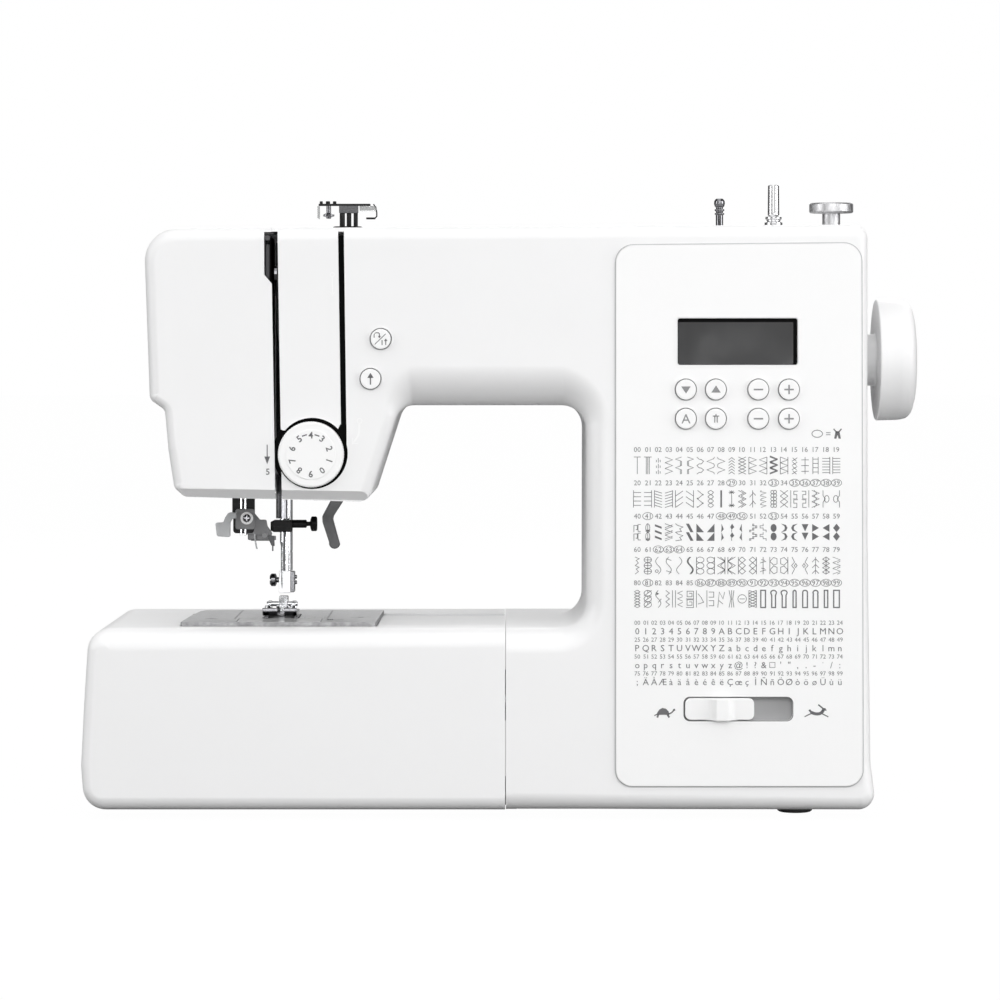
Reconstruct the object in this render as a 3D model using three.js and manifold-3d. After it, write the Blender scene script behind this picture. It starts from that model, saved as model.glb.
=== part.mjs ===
// A computerised free-arm sewing machine as a three.js scene graph.
// Units are millimetres. +X is to the operator's right, +Y away from the operator, +Z up.
// The ground is z = 0, under the rubber feet.

import * as THREE from 'three';
import { mergeVertices } from 'three/addons/utils/BufferGeometryUtils.js';
import Module from 'manifold-3d';

const wasm = await Module();
wasm.setup();

// ---------------------------------------------------------------- driving dimensions

const GAP = 0.3;                 // running gap between neighbouring pieces
const WALL = 2.6;                // wall of the moulded casing
const EDGE = 3;                  // chamfer round the casing's front and rear faces

const FRONT_Y = -82;             // front face of the casing
const SPLIT_Y = -22;             // joint between front and rear cover, on the shaft axis
const ARM_REAR_Y = 36;           // rear face of arm and column
const BASE_REAR_Y = 78;          // rear face of base and extension table
const BASE_BOTTOM_Z = 4.5;
const BED_TOP_Z = 93.8;          // sewing surface of the bed and the extension table
const PLATE_TOP_Z = 95.8;        // top of the needle plate
const HEAD_BOTTOM_Z = 157.8;
const ARM_BOTTOM_Z = 203.3;
const TOP_LEFT_Z = 290.4;
const TOP_RIGHT_Z = 292.4;
const HEAD_LEFT_X = -177.6;
const COLUMN_LEFT_X = 40.2;
const BODY_RIGHT_X = 178.5;
const BASE_RIGHT_X = 182.9;
const SEAM_X = 0.6;              // joint between the extension table and the base
const TABLE_LEFT_X = -208.3;
const ARM_ROUND = 20;            // rounding under the arm's front

const NEEDLE_X = -112.6;
const NEEDLE_Y = -22;
const PRESSER_Y = -9;
const SHAFT_Z = 225.7;           // upper shaft and handwheel
const LOWER_SHAFT_Z = 53;
const CRANK_R = 14;              // half of the needle bar's stroke
const ROD_LENGTH = 38;           // connecting rod, between its two eyes
const ROD = { left: -105.6, right: -102.6, eye: 5, bore: 2.8 };
const CRANK = { left: -102.2, right: -97.4, r: 17, pin: 2.5 };
const HOOK_Y = -42;              // centre of the rotary hook
const BELT_X = 152;

const SLOT_TOP_X = -111.4;       // right edge of the take-up slot, at SLOT_TOP_Z
const SLOT_TOP_Z = 255.3;
const SLOT_LEAN = -0.0203;       // how far the slot moves in x per mm of height
const SLOT_WIDTH = 2.9;

const DIAL = { x: -95, z: 179.4, r: 16.25 };
const KEY_R = 5.35;
const PANEL = { left: 53.8, right: 174.8, bottom: 16.8, top: 281.6, corner: 8, thick: 0.8 };
const LCD = { left: 84.9, right: 143.5, bottom: 224.3, top: 246.1 };
const SPEED_SLOT = { left: 87.7, right: 141.4, bottom: 48.7, top: 60.6 };

const TOP_ITEMS_Y = 11;          // row of the spool pin, winder and stop
const SPOOL_PIN_X = 110.6;
const WINDER_X = 138.4;
const STOP_X = 168.1;
const CENTRE_SHIFT_Y = 3.7;      // moves the model's middle onto y = 0

// ---------------------------------------------------------------- materials

const paint = (color, roughness, metalness = 0) =>
  new THREE.MeshStandardMaterial({ color, roughness, metalness });

const WHITE = paint(0xf2f2f0, 0.35);
const PALE = paint(0xf7f7f7, 0.3);
const LIGHT_GREY = paint(0xd4d6d8, 0.4);
const MID_GREY = paint(0x85898c, 0.5);
const DARK = paint(0x1c1d1f, 0.5);
const STEEL = paint(0xb9bcc0, 0.3, 1);
const CHROME = paint(0xe2e4e6, 0.12, 1);
const CAST = paint(0xa4a7aa, 0.6, 1);
const SMOKED = paint(0x4a4e52, 0.15);

// ---------------------------------------------------------------- solids from three.js shapes

// A closed manifold solid from a three.js geometry.
function solid(geometry) {
  const bare = geometry.clone();
  for (const name of Object.keys(bare.attributes)) {
    if (name !== 'position') bare.deleteAttribute(name);
  }
  const merged = mergeVertices(bare, 1e-4);
  const index = merged.index.array;
  const faces = [];
  for (let i = 0; i < index.length; i += 3) {
    const [a, b, c] = [index[i], index[i + 1], index[i + 2]];
    if (a !== b && b !== c && c !== a) faces.push(a, b, c);
  }
  return new wasm.Manifold(new wasm.Mesh({
    numProp: 3,
    vertProperties: new Float32Array(merged.attributes.position.array),
    triVerts: new Uint32Array(faces),
  }));
}

function geometryOf(body) {
  const mesh = body.getMesh();
  const geometry = new THREE.BufferGeometry();
  geometry.setAttribute('position', new THREE.BufferAttribute(mesh.vertProperties, 3));
  geometry.setIndex(new THREE.BufferAttribute(mesh.triVerts, 1));
  geometry.computeVertexNormals();
  return geometry;
}

const join = (...bodies) => bodies.reduce((all, next) => all.add(next));
const cut = (body, ...tools) => tools.reduce((left, tool) => left.subtract(tool), body);

// How each extrusion axis carries the outline's two directions and its depth into the model.
const BASES = {
  x: [new THREE.Vector3(0, 1, 0), new THREE.Vector3(0, 0, 1), new THREE.Vector3(1, 0, 0)],
  y: [new THREE.Vector3(1, 0, 0), new THREE.Vector3(0, 0, 1), new THREE.Vector3(0, -1, 0)],
  z: [new THREE.Vector3(1, 0, 0), new THREE.Vector3(0, 1, 0), new THREE.Vector3(0, 0, 1)],
};

// An outline pushed along an axis from low to high. The outline's coordinates are (y, z) for
// axis x, (x, z) for axis y and (x, y) for axis z. edge chamfers both ends, inset shrinks it.
function prism(axis, outline, low, high, { edge = 0, inset = 0, segments = 5 } = {}) {
  const shape = Array.isArray(outline)
    ? new THREE.Shape(outline.map(([a, b]) => new THREE.Vector2(a, b)))
    : outline;
  const bevelled = edge > 0 || inset > 0;
  const rim = bevelled ? Math.max(edge, 0.01) : 0;
  const geometry = new THREE.ExtrudeGeometry(shape, {
    depth: high - low - 2 * rim,
    curveSegments: segments,
    bevelEnabled: bevelled,
    bevelThickness: rim,
    bevelSize: edge,
    bevelOffset: -edge - inset,
    bevelSegments: 1,
  });
  const start = axis === 'y' ? high - rim : low + rim;
  geometry.applyMatrix4(new THREE.Matrix4().makeBasis(...BASES[axis]));
  const shift = { x: 0, y: 0, z: 0, [axis]: start };
  geometry.translate(shift.x, shift.y, shift.z);
  return solid(geometry);
}

function box(x0, x1, y0, y1, z0, z1) {
  const geometry = new THREE.BoxGeometry(x1 - x0, y1 - y0, z1 - z0);
  geometry.translate((x0 + x1) / 2, (y0 + y1) / 2, (z0 + z1) / 2);
  return solid(geometry);
}

// A turned body: profile is a list of [radius, distance along the axis], starting and ending
// on the axis or closing on itself. a and b are the axis's place in the other two directions.
function turned(axis, profile, a, b, segments = 18) {
  const points = profile.map(([r, along]) => new THREE.Vector2(r, along));
  const geometry = new THREE.LatheGeometry(points, segments);
  if (axis === 'x') geometry.rotateZ(-Math.PI / 2).translate(0, a, b);
  if (axis === 'y') geometry.translate(a, 0, b);
  if (axis === 'z') geometry.rotateX(Math.PI / 2).translate(a, b, 0);
  return solid(geometry);
}

function rod(axis, radius, low, high, a, b, segments = 16) {
  return turned(axis, [[0, low], [radius, low], [radius, high], [0, high]], a, b, segments);
}

function roundedRect(a0, a1, b0, b1, r) {
  const shape = new THREE.Shape();
  shape.moveTo(a0 + r, b0);
  shape.lineTo(a1 - r, b0);
  shape.absarc(a1 - r, b0 + r, r, -Math.PI / 2, 0);
  shape.lineTo(a1, b1 - r);
  shape.absarc(a1 - r, b1 - r, r, 0, Math.PI / 2);
  shape.lineTo(a0 + r, b1);
  shape.absarc(a0 + r, b1 - r, r, Math.PI / 2, Math.PI);
  shape.lineTo(a0, b0 + r);
  shape.absarc(a0 + r, b0 + r, r, Math.PI, 1.5 * Math.PI);
  return shape;
}

const machine = new THREE.Group();

function part(name, body, material) {
  const mesh = new THREE.Mesh(geometryOf(body), material);
  mesh.name = name;
  machine.add(mesh);
}

// ---------------------------------------------------------------- casing

// Front view of head, arm, column and base, counter-clockwise from the head's bottom.
function bodyOutline() {
  const s = new THREE.Shape();
  s.moveTo(-156, HEAD_BOTTOM_Z);
  s.lineTo(-70, HEAD_BOTTOM_Z);
  s.quadraticCurveTo(-65, HEAD_BOTTOM_Z, -63.5, 165);
  s.lineTo(-52.2, 198.6);
  s.quadraticCurveTo(-50.7, ARM_BOTTOM_Z, -45, ARM_BOTTOM_Z);
  s.lineTo(27, ARM_BOTTOM_Z);
  s.quadraticCurveTo(COLUMN_LEFT_X - 1, ARM_BOTTOM_Z, COLUMN_LEFT_X, 190);
  s.lineTo(COLUMN_LEFT_X, 108);
  s.quadraticCurveTo(COLUMN_LEFT_X, BED_TOP_Z, 26, BED_TOP_Z);
  s.lineTo(SEAM_X, BED_TOP_Z);
  s.lineTo(SEAM_X, BASE_BOTTOM_Z);
  s.lineTo(177, BASE_BOTTOM_Z);
  s.quadraticCurveTo(BASE_RIGHT_X, BASE_BOTTOM_Z, BASE_RIGHT_X - 0.5, 10);
  s.quadraticCurveTo(180.2, 18, 179.9, 28);
  s.lineTo(BODY_RIGHT_X, 140);
  s.lineTo(BODY_RIGHT_X, TOP_RIGHT_Z - 7);
  s.quadraticCurveTo(BODY_RIGHT_X, TOP_RIGHT_Z, BODY_RIGHT_X - 7, TOP_RIGHT_Z);
  s.lineTo(-160, TOP_LEFT_Z);
  s.quadraticCurveTo(HEAD_LEFT_X, TOP_LEFT_Z, HEAD_LEFT_X, TOP_LEFT_Z - 15.4);
  s.lineTo(-177.1, 235.6);
  s.lineTo(-175.2, 208.4);
  s.quadraticCurveTo(-168.5, 204, -167.7, 198.6);
  s.lineTo(-166.3, 181.3);
  s.lineTo(-166.3, 171.4);
  s.quadraticCurveTo(-165, HEAD_BOTTOM_Z, -156, HEAD_BOTTOM_Z);
  return s;
}

// Front view of the base under and behind the column.
function baseOutline() {
  const s = new THREE.Shape();
  s.moveTo(SEAM_X, BASE_BOTTOM_Z);
  s.lineTo(177, BASE_BOTTOM_Z);
  s.quadraticCurveTo(BASE_RIGHT_X, BASE_BOTTOM_Z, BASE_RIGHT_X - 0.5, 10);
  s.quadraticCurveTo(180.2, 18, 179.9, 28);
  s.lineTo(179.2, BED_TOP_Z - 8);
  s.quadraticCurveTo(179.2, BED_TOP_Z, 171, BED_TOP_Z);
  s.lineTo(SEAM_X, BED_TOP_Z);
  return s;
}

// Everything outside a quarter round of the given radius, along the arm's lower front edge.
function armEdgeCutter(radius) {
  const cy = FRONT_Y + ARM_ROUND;
  const cz = ARM_BOTTOM_Z + ARM_ROUND;
  const steps = 8;
  const points = [];
  for (let i = 0; i <= steps; i += 1) {
    const angle = 1.5 * Math.PI - (i / steps) * (Math.PI / 2);
    points.push([cy + radius * Math.cos(angle), cz + radius * Math.sin(angle)]);
  }
  points.push([cy - 60, cz], [cy - 60, cz - 60], [cy, cz - 60]);
  points.reverse();
  return prism('x', points, -48, 36);
}

// The sweep from the column's rear face down to the base's rear face.
function rearSweep(inset) {
  const points = [
    [ARM_REAR_Y - 4, 90], [BASE_REAR_Y - 4, 90], [BASE_REAR_Y - 4, BED_TOP_Z], [58, 97.5],
    [46, 106], [39.5, 120], [ARM_REAR_Y, 142], [ARM_REAR_Y - 4, 142],
  ];
  return prism('x', points.map(([y, z]) => [y - inset, z - inset]), 46 + inset, 174 - inset);
}

function bodySolid(inset, edge) {
  const arm = prism('y', bodyOutline(), FRONT_Y + inset, ARM_REAR_Y - inset, { edge, inset });
  const base = prism('y', baseOutline(), FRONT_Y + inset, BASE_REAR_Y - inset, { edge, inset });
  return cut(join(arm, base, rearSweep(inset)), armEdgeCutter(ARM_ROUND - inset));
}

// Half-spaces left and right of the take-up slot, which leans a little to the left at the top.
function besideSlot(side) {
  const edgeAt = (z) => SLOT_TOP_X + (z - SLOT_TOP_Z) * SLOT_LEAN - (side < 0 ? SLOT_WIDTH : 0);
  const far = 260 * side;
  const points = [[edgeAt(0), 0], [far, 0], [far, 330], [edgeAt(330), 330]];
  return prism('y', side < 0 ? points.reverse() : points, -120, 120);
}

// The second threading slot, from the arm's top to the tension dial.
function guideSlot() {
  return prism('y', [[-80.3, 185], [-77.9, 185], [-79.6, 276], [-82, 276]], -90, -70);
}

function keyHoles(places, radius) {
  return places.map(([x, z]) => rod('y', radius / Math.cos(Math.PI / 12), -90, -70, x, z, 12));
}

const KEYS = [
  ['key_select_down', 88.8, 211.3], ['key_select_up', 103.5, 211.3],
  ['key_width_minus', 124.3, 211.3], ['key_width_plus', 139.3, 211.3],
  ['key_letter_mode', 88.8, 197], ['key_twin_needle', 103.5, 197],
  ['key_length_minus', 124.3, 197], ['key_length_plus', 139.3, 197],
];
const HEAD_BUTTONS = [
  ['reverse_button', -60.8, 236.1], ['needle_position_button', -65.8, 216.5],
];
const places = (list) => list.map(([, x, z]) => [x, z]);

const freeArmPassage = box(-1, 6.5, -60, 28, BASE_BOTTOM_Z - 1, 90);
const rightOfSlot = besideSlot(1);
const shell = cut(bodySolid(0, EDGE), bodySolid(WALL, 0));
const trayOpening = box(6, 174, -76, 72, 0, 8);
const headOpening = box(-150, -74, -68, 26, 150, 164);
const shaftHole = rod('x', 7, 170, 190, SPLIT_Y, SHAFT_Z);

part('front_cover', cut(
  shell.intersect(rightOfSlot).intersect(box(-250, 250, -120, SPLIT_Y - GAP / 2, 0, 330)),
  trayOpening,
  freeArmPassage,
  headOpening,
  guideSlot(),
  rod('y', DIAL.r + 0.6, -90, -70, DIAL.x, DIAL.z, 24),
  shaftHole,
  box(LCD.left + 2, LCD.right - 2, -90, -75, LCD.bottom + 2, LCD.top - 2),
  box(SPEED_SLOT.left, SPEED_SLOT.right, -90, -75, SPEED_SLOT.bottom, SPEED_SLOT.top),
  ...keyHoles([...places(KEYS), ...places(HEAD_BUTTONS)], KEY_R + GAP),
), WHITE);

const bailLugs = [-36, 88].map((x) => box(x, x + 8, ARM_REAR_Y - 1, 42, 278, 289));

part('rear_cover', cut(
  join(
    shell.intersect(rightOfSlot).intersect(box(-250, 250, SPLIT_Y + GAP / 2, 120, 0, 330)),
    ...bailLugs,
  ),
  trayOpening,
  freeArmPassage,
  headOpening,
  shaftHole,
  rod('y', 4, 30, 40, -86, 172),
  rod('z', 2.8, 280, 300, SPOOL_PIN_X, TOP_ITEMS_Y),
  box(133.8, 147.2, TOP_ITEMS_Y - 4.6, TOP_ITEMS_Y + 4.6, 280, 300),
  box(170, 190, 32, 56, 30, 50),
  box(170, 190, 8, 22, 29, 51),
), WHITE);

part('face_cover', cut(
  shell.intersect(besideSlot(-1)),
  box(-150, -100, -68, 26, 150, 164),
  prism('y', [[-118.9, 289], [-118.7, 269], [-114.4, 262], [-105, 262], [-105, 289]], -90, -70),
), WHITE);

part('base_tray', join(
  box(6.4, 173.6, -75.6, 71.6, 4.9, 7.5),
  box(-158, 10, -58, 26, 4.9, 10),
), LIGHT_GREY);

const FEET = [
  ['foot_front_right', 145, -45], ['foot_rear_right', 145, 55],
  ['foot_front_left', -145, -18], ['foot_rear_left', -145, 14],
];
for (const [name, x, y] of FEET) {
  part(name, turned('z', [[0, 0], [8, 0], [9, 1], [9, 4.6], [0, 4.6]], x, y), DARK);
}

// ---------------------------------------------------------------- free arm and extension table

function freeArmSolid(inset) {
  const section = roundedRect(-62 + inset, 30 - inset, 36 + inset, 93.5 - inset, 9 - inset);
  const side = roundedRect(-165.7 + inset, 60, 36 + inset, 93.5 - inset, 12 - inset);
  const tube = prism('x', section, -170, 0.2 + inset);
  return tube.intersect(prism('y', side, -70, 40));
}

part('free_arm_cover', cut(
  freeArmSolid(0),
  freeArmSolid(2.4),
  box(-137, -79, -58, 12, 90, 96),
), WHITE);

// Front view of the extension table.
function tableOutline() {
  const s = new THREE.Shape();
  s.moveTo(0.2, 4.6);
  s.lineTo(0.2, BED_TOP_Z);
  s.lineTo(-196, BED_TOP_Z);
  s.quadraticCurveTo(-204.8, BED_TOP_Z - 1, -205.9, 82.7);
  s.lineTo(-207.4, 60);
  s.lineTo(TABLE_LEFT_X, 25);
  s.lineTo(-207.3, 14);
  s.quadraticCurveTo(-204.8, 4.6, -192, 4.6);
  return s;
}

const DOOR = { front: -50, rear: 50, bottom: 22, top: 78 };

part('extension_table', cut(
  prism('y', tableOutline(), FRONT_Y, BASE_REAR_Y, { edge: EDGE }),
  cut(
    prism('y', tableOutline(), FRONT_Y + 2.4, BASE_REAR_Y - 2.4, { inset: 2.4 }),
    box(-169.4, 1, -66.4, 34.4, 0, 100),
  ),
  box(-167, 1, -64, 32, 0, 100),
  box(-212, -200, DOOR.front, DOOR.rear, DOOR.bottom, DOOR.top),
), WHITE);

const doorSkin = [
  [-207.9, DOOR.bottom + GAP], [-205.4, DOOR.bottom + GAP], [-204.9, 60],
  [-203.8, DOOR.top - GAP], [-206.1, DOOR.top - GAP], [-207.3, 60],
];
part('accessory_door', prism('y', doorSkin, DOOR.front + GAP, DOOR.rear - GAP), WHITE);

// ---------------------------------------------------------------- control panel

const panelHoles = [
  box(LCD.left - GAP, LCD.right + GAP, -90, -75, LCD.bottom - GAP, LCD.top + GAP),
  box(SPEED_SLOT.left, SPEED_SLOT.right, -90, -75, SPEED_SLOT.bottom, SPEED_SLOT.top),
  ...keyHoles(places(KEYS), KEY_R + GAP),
];
const panelFront = FRONT_Y - GAP - PANEL.thick;
const panelShape = roundedRect(PANEL.left, PANEL.right, PANEL.bottom, PANEL.top, PANEL.corner);
part('control_panel', cut(
  prism('y', panelShape, panelFront, FRONT_Y - GAP), ...panelHoles,
), PALE);

part('lcd_window', join(
  box(LCD.left, LCD.right, panelFront, FRONT_Y - GAP, LCD.bottom, LCD.top),
  box(LCD.left + 2.4, LCD.right - 2.4, FRONT_Y - 1, -78.6, LCD.bottom + 2.4, LCD.top - 2.4),
), SMOKED);

// A round push button: domed cap, stem and a collar that holds it behind the wall.
function button(x, z, face) {
  const wallInside = FRONT_Y + WALL;
  return turned('y', [
    [0, face], [KEY_R - 1.2, face + 0.2], [KEY_R, face + 1.1], [KEY_R, wallInside + GAP],
    [KEY_R + 1.2, wallInside + GAP], [KEY_R + 1.2, wallInside + 1.5], [0, wallInside + 1.5],
  ], x, z, 12);
}
for (const [name, x, z] of KEYS) part(name, button(x, z, -84.6), LIGHT_GREY);
for (const [name, x, z] of HEAD_BUTTONS) part(name, button(x, z, -83.8), LIGHT_GREY);

part('speed_slider', join(
  box(88.3, 122.5, -83, -78.5, SPEED_SLOT.bottom + 0.6, SPEED_SLOT.top - 0.6),
  prism('z', [[100.1, -83.5], [103, -85.4], [110.3, -85.4], [113.2, -83.5], [113.2, -82], [100.1, -82]],
    SPEED_SLOT.bottom + 0.6, SPEED_SLOT.top - 0.6),
), PALE);

// ---------------------------------------------------------------- drive

part('handwheel', turned('x', [
  [0, 181], [17, 181], [17, 187.2], [28.8, 187.4], [30.4, 189.2], [30.4, 199.5],
  [28.6, 203.2], [20, 206.4], [10, 207.8], [0, 208.3],
], SPLIT_Y, SHAFT_Z, 32), WHITE);

part('upper_shaft', join(
  rod('x', 5, -101, 180.7, SPLIT_Y, SHAFT_Z),
  rod('x', 11.7, BELT_X - 1, BELT_X + 7, SPLIT_Y, SHAFT_Z),
  rod('x', CRANK.r, CRANK.left, CRANK.right, SPLIT_Y, SHAFT_Z, 20),
  rod('x', CRANK.pin, ROD.left, CRANK.left + 1, SPLIT_Y, SHAFT_Z + CRANK_R, 16),
), STEEL);

const crankZ = SHAFT_Z + CRANK_R;
const rodEyes = [crankZ, crankZ - ROD_LENGTH];
part('connecting_rod', cut(
  join(
    box(ROD.left, ROD.right, NEEDLE_Y - 3, NEEDLE_Y + 3, crankZ - ROD_LENGTH, crankZ),
    ...rodEyes.map((z) => rod('x', ROD.eye, ROD.left, ROD.right, NEEDLE_Y, z, 16)),
  ),
  ...rodEyes.map((z) => rod('x', ROD.bore, ROD.left - 1, ROD.right + 1, NEEDLE_Y, z, 16)),
), STEEL);

part('lower_shaft', join(
  rod('x', 4, -117, BELT_X + 8, SPLIT_Y, LOWER_SHAFT_Z),
  rod('x', 8, -116, -109, SPLIT_Y, LOWER_SHAFT_Z),
  rod('x', 11.7, BELT_X - 1, BELT_X + 7, SPLIT_Y, LOWER_SHAFT_Z),
), STEEL);

function beltLoop(radius) {
  const s = new THREE.Shape();
  s.absarc(SPLIT_Y, SHAFT_Z, radius, 0, Math.PI);
  s.absarc(SPLIT_Y, LOWER_SHAFT_Z, radius, Math.PI, 2 * Math.PI);
  return s;
}
part('timing_belt', cut(
  prism('x', beltLoop(13.5), BELT_X, BELT_X + 6, { segments: 6 }),
  prism('x', beltLoop(12), BELT_X - 1, BELT_X + 7, { segments: 6 }),
), DARK);

part('drive_motor', join(
  rod('x', 21, 60, 118, -50, 118, 20),
  rod('x', 3, 110, 132, -50, 118, 12),
  rod('x', 7, 122, 131, -50, 118, 16),
), DARK);

part('main_frame', cut(
  join(
    box(-96, 145, -8, 14, 234, 258),
    box(120, 145, -8, 14, 42, 258),
    box(-150, 145, -8, 14, 42, 66),
    box(-96, -84, -8, 14, 165, 258),
    box(-118, -107.6, -15, 14, 165, 178),
    box(-108, -84, -4, 14, 165, 178),
    box(-95, -82, -34, -6, 214, 240),
    box(125, 139, -34, -6, 214, 240),
    box(-92, -80, -30, -6, 44, 62),
    box(125, 137, -30, -6, 44, 62),
  ),
  rod('x', 5.3, -110, 150, SPLIT_Y, SHAFT_Z),
  rod('x', 4.3, -110, 150, SPLIT_Y, LOWER_SHAFT_Z),
  rod('z', 3.2, 160, 182, NEEDLE_X, PRESSER_Y),
), CAST);

// ---------------------------------------------------------------- needle and take-up

part('needle_bar_frame', cut(
  join(
    box(-121, -118.2, -27, -17, 168, 272),
    box(-119, -107.2, -27, -17, 258, 272),
    box(-119, -108, -27, -17, 168, 178),
  ),
  rod('z', 3.3, 160, 280, NEEDLE_X, NEEDLE_Y),
), CAST);

part('needle_bar', rod('z', 3, 145.6, 285, NEEDLE_X, NEEDLE_Y), CHROME);

part('needle_clamp', cut(
  box(-117.7, -107.3, -27, -17, 139.2, 145.3),
  rod('z', 1.3, 138, 147, NEEDLE_X, NEEDLE_Y, 12),
), DARK);

part('needle_clamp_screw', turned('x', [
  [0, -107], [1.9, -107], [1.9, -98.4], [1.1, -98.2], [1.1, -97.8], [3.7, -97.4],
  [3.7, -94.6], [0, -94.4],
], NEEDLE_Y, 143, 16), DARK);

part('needle', turned('z', [
  [0, 109.4], [0.35, 112], [0.45, 131], [1, 133.5], [1, 145.3], [0, 145.3],
], NEEDLE_X, NEEDLE_Y, 12), CHROME);

const LEVER_PIVOT = [-40, 240];
const LEVER_EYE = [-74, 268];
part('take_up_lever', cut(
  join(
    rod('x', 5, -113.2, -112, ...LEVER_PIVOT, 16),
    prism('x', [[-43.5, 236], [-36.5, 243.5], [-70, 269], [-75, 265]], -113.2, -112),
    rod('x', 4, -113.2, -112, ...LEVER_EYE, 16),
  ),
  rod('x', 1.4, -116, -110, ...LEVER_EYE, 10),
  rod('x', 2, -116, -110, ...LEVER_PIVOT, 12),
), CHROME);

// ---------------------------------------------------------------- presser and foot

part('presser_bar', rod('z', 2.9, 118.5, 200, NEEDLE_X, PRESSER_Y), CHROME);

part('presser_foot_holder', cut(
  join(
    box(-116, -107.1, -14.5, -5, 107.1, 118.2),
    rod('x', 3.4, -119.4, -115.6, -10, 113.8, 14),
    box(-107.4, -105, -12, -8, 109, 118.2),
  ),
  box(-114.6, -108.6, -20, 0, 100, 108.6),
), CHROME);

part('presser_foot', cut(
  join(
    prism('x', [[-33, 98.6], [-30, 96.8], [-4, 96.8], [-4, 98.9], [-29, 98.9], [-33, 100.6]],
      -122, -104.9),
    box(-114.2, -109, -14, -4, 98, 103.4),
    rod('x', 1.4, -116, -107.2, PRESSER_Y, 102.4, 12),
  ),
  box(-117.6, -107.6, -24.5, -19.5, 90, 105),
  box(-114.1, -111.1, -40, -24, 90, 105),
), CHROME);

part('presser_lifter', join(
  prism('y', [
    [-91.5, 174], [-89.6, 154], [-93.8, 146.5], [-93.2, 142.5], [-90.2, 131.6], [-87.2, 128.8],
    [-84.4, 131.4], [-87.4, 143.6], [-87, 146], [-82.6, 155], [-80.5, 174],
  ].reverse(), 38, 41),
  rod('y', 3.5, 15, 39, -86, 172, 16),
), MID_GREY);

// ---------------------------------------------------------------- needle threader

part('needle_threader', join(
  box(-136.9, -125.8, -35, -32.4, 138.7, 171),
  box(-135.5, -127, -37.2, -34.8, 141.2, 151.4),
  prism('y', [
    [-136, 145.6], [-145.1, 143.9], [-144.4, 136.7], [-137.4, 136.7], [-137, 142], [-134, 143],
  ].reverse(), -37.2, -35),
  prism('y', [
    [-127.2, 149.5], [-122.8, 145.3], [-119.6, 145], [-119.4, 141.9], [-117.5, 139.7],
    [-117.5, 136.6], [-130, 136.6], [-130, 149.5],
  ].reverse(), -32.6, -30.2),
), MID_GREY);

part('threader_hook', join(
  rod('z', 2.2, 130.2, 136.3, -127, -34, 12),
  prism('z', [[-128.2, -35.4], [-115.2, -45.6], [-114, -44.2], [-126.2, -32.6]].reverse(), 131, 134),
  prism('z', [[-115.9, -45.2], [-114.6, -45.2], [-114.6, -43.9], [-115.9, -43.9]], 125.4, 132),
), MID_GREY);

// ---------------------------------------------------------------- needle plate and feed

const plateOutline = [
  [-160.8, -62], [-63.9, -62], [-62.5, 30], [-155, 30], [-157.4, 20], [-159.6, -20],
];
const FEED_BARS = [[-121.3, -119.2], [-106, -103.9]];
part('needle_plate', cut(
  prism('z', plateOutline, 94.1, PLATE_TOP_Z),
  box(-133.5, -91.2, -60.3, -35.2, 90, 100),
  box(-117.5, -107.7, -23.4, -20.6, 90, 100),
  box(-114.4, -110.8, -18.8, -5, 90, 100),
  box(-89.4, -80.6, -46.9, -44.1, 90, 100),
  ...FEED_BARS.map(([a, b]) => box(a - 0.5, b + 0.5, -33, -2, 90, 100)),
), STEEL);

part('bobbin_cover', box(-133.2, -91.5, -60, -35.5, 94.4, PLATE_TOP_Z), PALE);
part('bobbin_cover_latch', box(-89, -85.4, -46.6, -44.4, 91, 96.2), DARK);

part('feed_bar', join(
  box(-120, -104, -12, 8, 76, 84.5),
  box(-116, -108, 0, 6, 67, 77),
), CAST);

part('feed_dog', join(
  box(-122.5, -102.5, -16.4, 4, 87.5, 91),
  box(-114.1, -111.1, -16.4, -8, 90, 96.2),
  ...FEED_BARS.map(([a, b]) => box(a, b, -30, -5, 90.5, 96.2)),
), STEEL);

part('rotary_hook', turned('z', [
  [0, 46], [4, 46], [4, 50], [11, 50], [11, 56], [4, 56], [4, 62], [16.5, 62], [16.5, 82],
  [14.3, 82], [14.3, 64.5], [0, 64.5],
], NEEDLE_X, HOOK_Y, 20), STEEL);

part('bobbin_case', turned('z', [
  [0, 65], [13.8, 65], [13.8, 86.5], [10.7, 86.5], [10.7, 68], [0, 68],
], NEEDLE_X, HOOK_Y, 20), DARK);

part('bobbin', turned('z', [
  [0, 68.6], [10.2, 68.6], [10.2, 69.8], [3.4, 69.8], [3.4, 79.2], [10.2, 79.2],
  [10.2, 80.4], [0, 80.4],
], NEEDLE_X, HOOK_Y, 16), PALE);

// ---------------------------------------------------------------- controls and top items

part('tension_dial', turned('y', [
  [0, -84.6], [12.4, -84.6], [12.8, -84.2], [DIAL.r - 0.8, -84.6], [DIAL.r, -83.8],
  [DIAL.r, -70], [0, -70],
], DIAL.x, DIAL.z, 24), WHITE);

const topAt = (x) => TOP_LEFT_Z + ((x + 160) * (TOP_RIGHT_Z - TOP_LEFT_Z)) / (BODY_RIGHT_X + 153);

part('spool_pin', turned('z', [
  [0, 262], [2.4, 262], [2.4, 300.6], [1.7, 301.2], [2.4, 302], [1.7, 302.8], [2.4, 303.6],
  [1.8, 304.4], [2.4, 305.6], [2.1, 308], [0, 309],
], SPOOL_PIN_X, TOP_ITEMS_Y, 16), PALE);

part('winder_carriage', join(
  box(130, 148, TOP_ITEMS_Y - 8, TOP_ITEMS_Y + 8, 282, 287),
  rod('z', 4.2, 286, 292.8, WINDER_X, TOP_ITEMS_Y, 16),
), LIGHT_GREY);

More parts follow.
